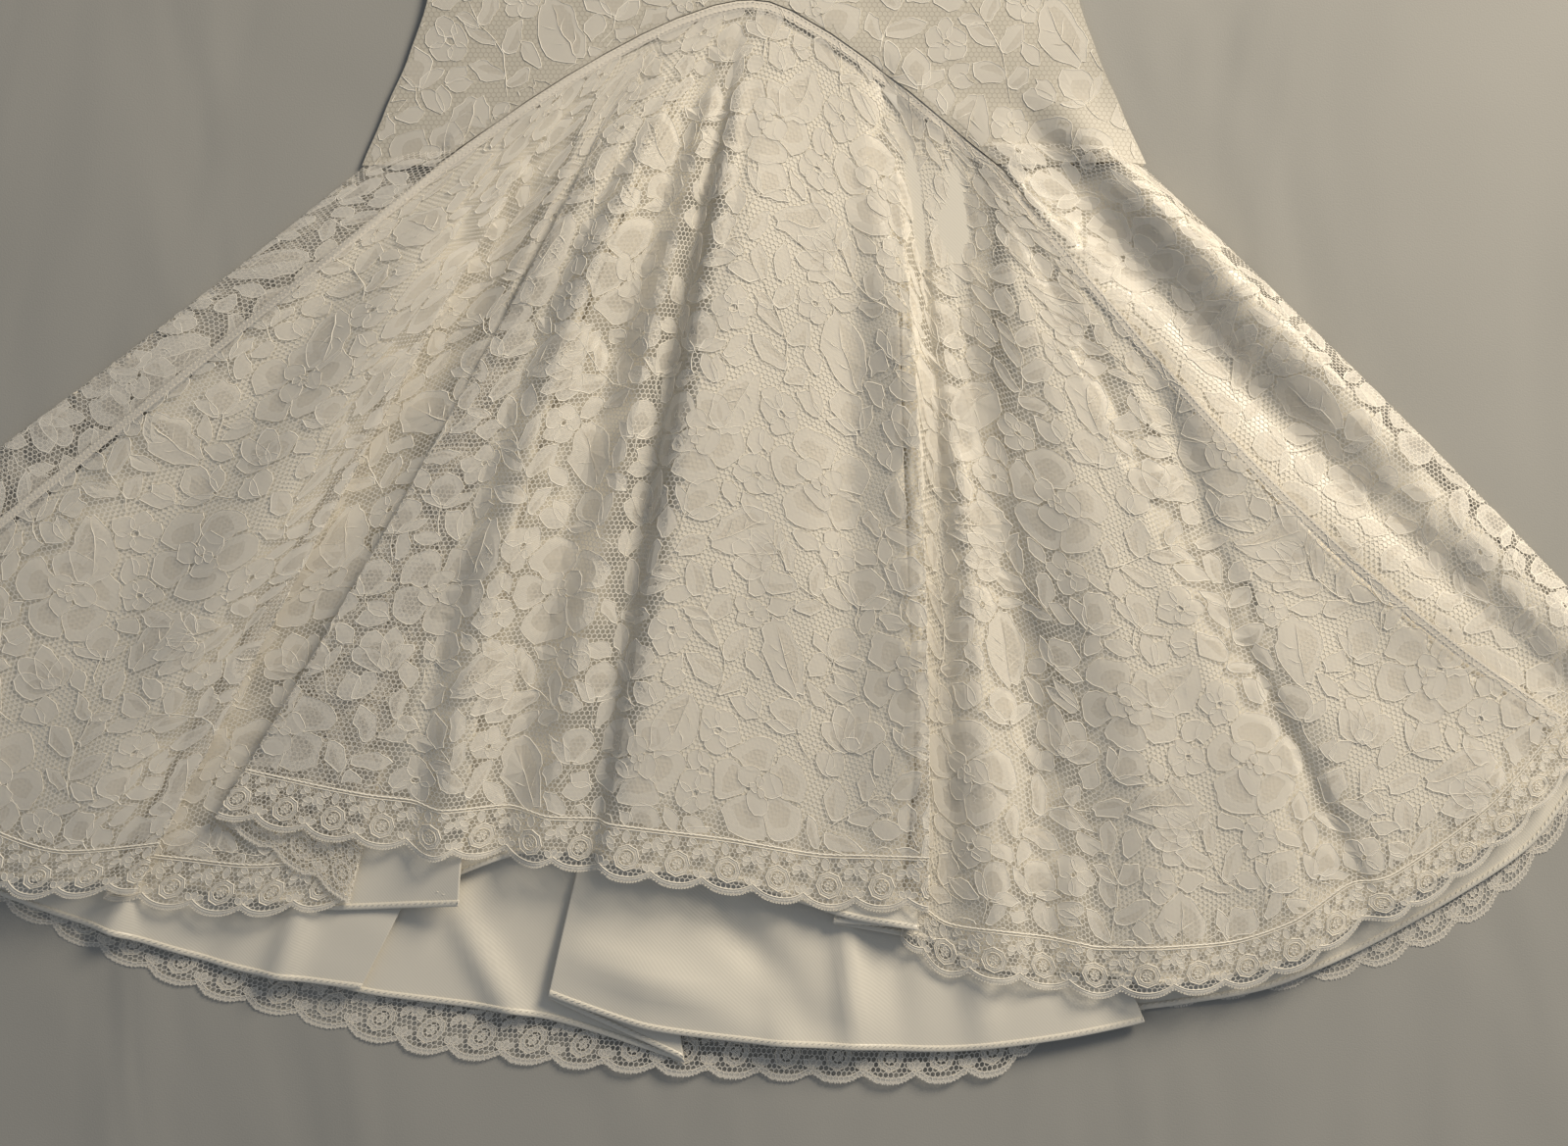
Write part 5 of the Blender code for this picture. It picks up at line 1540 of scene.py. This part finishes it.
# %% Fitted panels and their flowers
FRONT_SIDE_Z, FRONT_LOFT, BACK_Z = 3.3, 3.5, 1.0
CHEVRON_Z, CHEVRON_RAMP, CHEVRON_FULL = 8.1, 45.0, 0.74
BUST = (92.0, 650.0, 105.0, 7.0)  # x, y, radius and height of the soft fullness over each cup
BUST_FULL = 0.7
STRIP_Z, STRIP_RAMP = 7.4, 50.0
STRIP_FALL, STRIP_FROM = 4.0, 0.6  # the strips lie lower towards the side seam, from this share of the width
PANEL_ROWS = 100
PANEL_PARTS = 5  # columns of points from one column of the table to the next
FRONT_PANEL_LIFT, BACK_PANEL_LIFT = 0.6, -0.4
PANEL_MIDDLE = 385.0  # the height that lies in the middle of the panels' flat cut


def front_height(side, x, y, lower, share):
    """The height of the fitted front: low at the side seam, full over the bust, up at the V seam."""
    bust_x, bust_y, bust_radius, bust_height = BUST
    away = math.hypot(abs(x) - bust_x, y - bust_y) / bust_radius
    loft = FRONT_LOFT * (1.0 - share * share)
    loft += bust_height * (1.0 - smooth(away)) * (1.0 - smooth((share - BUST_FULL) / (1.0 - BUST_FULL)))
    full = CHEVRON_FULL * (CHEVRON_LEFT[0] if side < 0 else CHEVRON_RIGHT[0])
    reach = 1.0 - smooth((abs(x) - full) / (half_width(y) - full))
    height = FRONT_SIDE_Z + loft
    height += (CHEVRON_Z - height) * (1.0 - smooth((y - lower) / CHEVRON_RAMP)) * reach
    if lower <= SIDE_SEAM_Y + 0.5:  # beside the V the flounce's side strips lie on the panel's end
        strip = STRIP_Z - STRIP_FALL * (share - STRIP_FROM) / (1.0 - STRIP_FROM)
        height += (strip - height) * (1.0 - smooth((y - lower) / STRIP_RAMP))
    return height


def fitted_panel(name, side, is_front, lift):
    """One fitted panel as a thin sheet with its flat cut."""
    numbers = np.arange(len(COLUMNS))
    shares = [column.share for column in COLUMNS]
    tops = [column.front_top if is_front else column.back_top for column in COLUMNS]
    lowers = [corner[1] if is_front else SIDE_SEAM_Y for corner in LOWER_CORNERS[side]]
    lines = []
    for spot in np.linspace(0.0, numbers[-1], PANEL_PARTS * numbers[-1] + 1):
        share, top, lower = (np.interp(spot, numbers, values) for values in (shares, tops, lowers))
        line = []
        for y in np.linspace(top, lower, PANEL_ROWS):
            x = side * max(share * half_width(y), SEAM_GAP / 2.0)
            z = front_height(side, x, y, lower, share) if is_front else BACK_Z
            line.append((x, y, z + lift))
        lines.append(line)
    points = np.array(lines[::side]).transpose(1, 0, 2)
    if is_front:
        points = waved(creased(points, TOP_CREASES), WAVE, TOP_WAVES)
    flat = points[..., :2] - (0.0, PANEL_MIDDLE)
    size = np.ptp(flat.reshape(-1, 2), axis=0) * MM
    panel = sheet_object(name, points, flat, [mounted], flip=not is_front)
    return panel, Cut(flat, size[0], size[1], quads_area(flat))


PANELS = {}
for side, word in ((-1, "left"), (1, "right")):
    PANELS["front_" + word] = fitted_panel("fitted_front_" + word, side, True, FRONT_PANEL_LIFT)
    PANELS["back_" + word] = fitted_panel("fitted_back_" + word, side, False, BACK_PANEL_LIFT)
PANEL_FLOWERS = {}
for node, (panel, cut) in PANELS.items():
    relief = 1.0 if node.startswith("front") else 0.4
    PANEL_FLOWERS[node] = flowers_on(panel, "flowers_" + node, 5, 7, 0.1, relief)

# %% [markdown]
# ## Double seams, rolled hems and stitches
#
# The V and the two sides of the fan are joined by a flat-felled seam, which shows as a narrow raised strip
# with two ridges. The satin's hems are rolled and stitched, so their edge is a thicker band with a row of
# small slanted stitches. The strips follow the finished cloth. The stitches repeat along a line, which is
# what Geometry Nodes are good at: the line is divided evenly, and each division gets one stitch turned
# with the line.

# %% Strips along an edge
def strip_object(name, rows, material, flip=False):
    """A narrow strip through rows of points, with its length and width as UV."""
    points = np.array(rows)
    along = along_rows(points)
    flat = np.stack([along - along[-1][-1] / 2.0, along_rows(points.transpose(1, 0, 2)).T], axis=2)
    return sheet_object(name, points, flat, [material], flip)


def inward(points, distance):
    """The points at a distance along the cloth from its last row."""
    steps = np.linalg.norm(np.diff(points[::-1], axis=0), axis=2)
    from_hem = np.concatenate([np.zeros((1, points.shape[1])), np.cumsum(steps, axis=0)])
    line = []
    for k in range(points.shape[1]):
        line.append([np.interp(distance, from_hem[:, k], points[::-1, k, axis]) for axis in range(3)])
    return np.array(line)


HEM_PROFILE = ((-0.1, -0.9), (-0.3, 0.1), (0.3, 0.55), (2.0, 0.7), (3.8, 0.5), (4.2, 0.0))  # inward, up
LOWEST_HEM = 0.3
HEM_STITCHES = (3.0, 0.75)  # inward, up


def rolled_hem(name, points):
    """The thicker band along a satin hem, and the line that its stitches follow."""
    rows = []
    for distance, up in HEM_PROFILE[::-1]:
        row = inward(points, max(distance, 0.0)) + (0.0, min(distance, 0.0), up)
        row[:, 2] = np.maximum(row[:, 2], LOWEST_HEM)
        rows.append(row)
    stitch_line = inward(points, HEM_STITCHES[0]) + (0.0, 0.0, HEM_STITCHES[1])
    return strip_object(name, rows, satin), stitch_line


hem_front, front_stitch_line = rolled_hem("hem_front", front_satin_points)
hem_back, back_stitch_line = rolled_hem("hem_back", back_satin_points)
SEAM_PROFILE = (  # inward, up
    (0.2, 0.1), (0.6, 0.4), (1.5, 0.62), (2.4, 0.55), (3.2, 0.42), (4.0, 0.52), (5.0, 0.6), (5.9, 0.38),
    (6.6, 0.05),
)
SEAM_RIDGES = (2, 6)  # the rows of the profile that carry the stitches
WELL_ABOVE = 60.0
SEAM_THREAD_UP = 0.12
SEAM_SPACING = 0.4  # points of the border closer than this are left out


def double_seam(name, border, way, roof, relief):
    """The raised strip of two ridges inside a border of the lace, and the lines of its stitches."""
    ahead = np.gradient(border[:, :2], axis=0)
    ahead /= np.linalg.norm(ahead, axis=1)[:, None]
    across = np.stack([-ahead[:, 1], ahead[:, 0]], axis=1) * way
    heights = []
    for distance, _ in SEAM_PROFILE:
        row = []
        for spot, end in zip(border[:, :2] + across * distance, border[:, 2]):
            hit = roof.ray_cast(Vector(in_metres((*spot, WELL_ABOVE))), Vector((0.0, 0.0, -1.0)))[0]
            row.append(hit.z / MM if hit else end)
        heights.append(row)
    base = np.array(heights)
    rows = []
    for (distance, up), height in zip(SEAM_PROFILE, base):
        rows.append(np.column_stack([border[:, :2] + across * distance, height + up * relief]))
    lines = [rows[k] + (0.0, 0.0, SEAM_THREAD_UP) for k in SEAM_RIDGES]
    return strip_object(name, rows, seam_cloth, flip=way > 0), lines


# The felled seam is several layers of lace and satin stitched flat, denser than net. It is a little darker
# than net as painted shade: the tone of the lace beside it, whose net shades the satin below.
seam_cloth, tree, shader = new_material("felled seam of lace", "dcd4c4", 0.9, 0.2)
spot = add(tree, "ShaderNodeTexCoord").outputs["Object"]
dots = add(tree, "ShaderNodeTexVoronoi", None, {"Vector": spot, "Scale": 520.0})
give_relief(tree, shader, dots.outputs[0], 0.4, 0.0004)

top_row = front_lace_points[0]
point_at = int(np.argmin(np.abs(top_row[:, 0])))
# The left seam stands up and the right one is pressed flat: border, side that is inward, and relief
borders = {
    "seam_left": (np.concatenate([top_row[point_at::-1], front_lace_points[1:, 0]]), 1.0, 1.2),
    "seam_right": (np.concatenate([top_row[point_at:], front_lace_points[1:, -1]]), -1.0, 0.25),
}
roof = mesh_tree(lace_front)
SEAMS, SEAM_LINES = {}, []
for node, (border, way, relief) in borders.items():
    steps = np.linalg.norm(np.diff(border[:, :2], axis=0), axis=1)
    border = border[np.concatenate([[True], steps > SEAM_SPACING])]
    SEAMS[node], lines = double_seam("felled_" + node, border, way, roof, relief)
    SEAM_LINES += lines
print("seams:", {name: len(piece.data.polygons) for name, piece in SEAMS.items()})

# %% Stitches along lines
def stitch_tree(material):
    """A tree that sets small stitches along a piece's lines, and its inputs' identifiers."""
    tree, keys = geometry_tree("stitches", {
        "Spacing": ("Float", 0.003), "Length": ("Float", 0.002), "Thickness": ("Float", 0.0006),
        "Slant": ("Float", 0.0)})
    group = add(tree, "NodeGroupInput").outputs
    lines = add(tree, "GeometryNodeMeshToCurve", None, {0: group["Geometry"]})
    even = add(tree, "GeometryNodeResampleCurve", {"mode": "LENGTH"}, {
        0: lines.outputs[0], 3: group["Spacing"]})
    ahead = add(tree, "GeometryNodeInputTangent").outputs[0]
    turned = add(tree, "FunctionNodeAlignEulerToVector", {"axis": "X"}, {2: ahead})
    slanted = add(tree, "FunctionNodeRotateEuler", {"space": "LOCAL"}, {
        0: turned.outputs[0], 1: add(tree, "ShaderNodeCombineXYZ", None, {2: group["Slant"]}).outputs[0]})
    bead = add(tree, "GeometryNodeMeshIcoSphere", None, {0: 0.5, 1: 1})
    size = add(tree, "ShaderNodeCombineXYZ", None, {
        0: group["Length"], 1: group["Thickness"], 2: group["Thickness"]})
    beads = add(tree, "GeometryNodeInstanceOnPoints", None, {
        0: even.outputs[0], 2: bead.outputs[0], 5: slanted.outputs[0], 6: size.outputs[0]})
    plain = add(tree, "GeometryNodeRealizeInstances", None, {0: beads.outputs[0]})
    result = add(tree, "GeometryNodeSetMaterial", None, {0: plain.outputs[0], 2: material})
    add(tree, "NodeGroupOutput", None, {0: result.outputs[0]})
    return tree, keys


# Sewing thread: spun polyester, a little brighter than the cloth it holds.
thread, tree, shader = new_material("sewing thread", "ece4d2", 0.6, 0.1)
STITCH, STITCH_KEYS = stitch_tree(thread)


def stitches(name, lines, spacing, length, thickness, slant):
    """A row of stitches along each line of points in millimetres."""
    corners, edges = [], []
    for line in lines:
        first = len(corners)
        corners += in_metres(line).tolist()
        edges += [(first + k, first + k + 1) for k in range(len(line) - 1)]
    mesh = bpy.data.meshes.new(name)
    mesh.from_pydata(corners, edges, [])
    piece = remade(new_object(name, mesh), STITCH, STITCH_KEYS, {
        "Spacing": spacing * MM, "Length": length * MM, "Thickness": thickness * MM,
        "Slant": math.radians(slant)})
    print(name, len(piece.data.polygons), "faces")
    return piece


stitches_front = stitches("stitches_hem_front", [front_stitch_line], 4.2, 3.6, 0.95, 32)
stitches_back = stitches("stitches_hem_back", [back_stitch_line], 4.2, 3.6, 0.95, 32)
stitches_seams = stitches("stitches_seams", SEAM_LINES, 3.2, 2.1, 0.6, 0)

# %% [markdown]
# ## The zip
#
# A dress this close at the waist opens down the centre of its back, with a concealed zip: a coil of nylon
# sewn to two tapes, closed, on the inside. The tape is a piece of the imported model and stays; it gets
# the finish of woven tape. The coil is one loop, repeated along the opening.

# %% Zip tape and coil
ZIP_BOTTOM_Y, ZIP_TOP_Y, ZIP_Z = 300.0, 812.0, 3.3
ZIP_LOOP = 1.6

zip_tape, tree, shader = new_material("woven zip tape", "ddd5c3", 0.7, 0.1)
spot = add(tree, "ShaderNodeTexCoord").outputs["Object"]
ribs = add(tree, "ShaderNodeTexWave", {"bands_direction": "Y"}, {"Vector": spot, "Scale": 300.0})
give_relief(tree, shader, ribs.outputs["Fac"], 0.3, 0.0003)
for material_slot in bpy.data.objects["back_zip"].material_slots:
    material_slot.material = zip_tape

# Nylon coil: smooth plastic wire.
coil_nylon, tree, shader = new_material("zip coil nylon", "e4ddcd", 0.35, 0.0)


def coil_tree(material):
    """A tree that sets loops of wire along a piece's line, and its inputs' identifiers."""
    tree, keys = geometry_tree("zip coil", {
        "Spacing": ("Float", 0.0016), "Half Width": ("Float", 0.002), "Half Height": ("Float", 0.0008),
        "Wire": ("Float", 0.0004)})
    group = add(tree, "NodeGroupInput").outputs
    line = add(tree, "GeometryNodeMeshToCurve", None, {0: group["Geometry"]})
    spots = add(tree, "GeometryNodeResampleCurve", {"mode": "LENGTH"}, {
        0: line.outputs[0], 3: group["Spacing"]})
    ring = add(tree, "GeometryNodeCurvePrimitiveCircle", None, {"Resolution": 8, "Radius": 1.0})
    size = add(tree, "ShaderNodeCombineXYZ", None, {0: group["Half Width"], 1: group["Half Height"], 2: 1.0})
    upright = add(tree, "GeometryNodeTransform", None, {
        "Geometry": ring.outputs[0], "Rotation": (math.radians(90.0), 0.0, math.radians(11.0)),
        "Scale": size.outputs[0]})
    section = add(tree, "GeometryNodeCurvePrimitiveCircle", None, {"Resolution": 4, "Radius": group["Wire"]})
    loop = add(tree, "GeometryNodeCurveToMesh", None, {
        "Curve": upright.outputs[0], "Profile Curve": section.outputs[0]})
    loops = add(tree, "GeometryNodeInstanceOnPoints", None, {
        "Points": spots.outputs[0], "Instance": loop.outputs[0]})
    plain = add(tree, "GeometryNodeRealizeInstances", None, {0: loops.outputs[0]})
    result = add(tree, "GeometryNodeSetMaterial", None, {0: plain.outputs[0], 2: material})
    add(tree, "NodeGroupOutput", None, {0: result.outputs[0]})
    return tree, keys


COIL, COIL_KEYS = coil_tree(coil_nylon)
coil_mesh = bpy.data.meshes.new("zip_coil")
coil_ends = in_metres([(0.0, ZIP_BOTTOM_Y, ZIP_Z), (0.0, ZIP_TOP_Y, ZIP_Z)])
coil_mesh.from_pydata(coil_ends.tolist(), [(0, 1)], [])
zip_coil = remade(new_object("zip_coil", coil_mesh), COIL, COIL_KEYS, {"Spacing": ZIP_LOOP * MM})
print("zip coil:", len(zip_coil.data.polygons), "faces")

# %% End
sheets = [(lining_front, front_satin_cut, "satin", "flounce_front_lining", [hem_front, stitches_front]),
          (lining_back, back_satin_cut, "satin", "flounce_back_lining", [hem_back, stitches_back]),
          (lace_front, front_lace_cut, "lace", "flounce_front_lace", [flowers_front]),
          (lace_back, back_lace_cut, "lace", "flounce_back_lace", [flowers_back])]
sheets += [(piece, cut, "lace_on_satin", node, [PANEL_FLOWERS[node]])
           for node, (piece, cut) in PANELS.items()]
for piece, cut, slot, node, others in sheets:
    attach(piece, "root")
    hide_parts(node)
    for other in [piece] + others:
        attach(other, "root")
edgings = ((edging_front, roses_front, front_scallops, front_edging_area, "front_edging"),
           (edging_back, roses_back, back_scallops, back_edging_area, "back_edging"))
for piece, roses, count, area, node in edgings:
    for other in (piece, roses):
        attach(other, "root")
    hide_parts(node)
for node, piece in SEAMS.items():
    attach(piece, "root")
    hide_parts(node)
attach(stitches_seams, "root")
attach(zip_coil, "root")
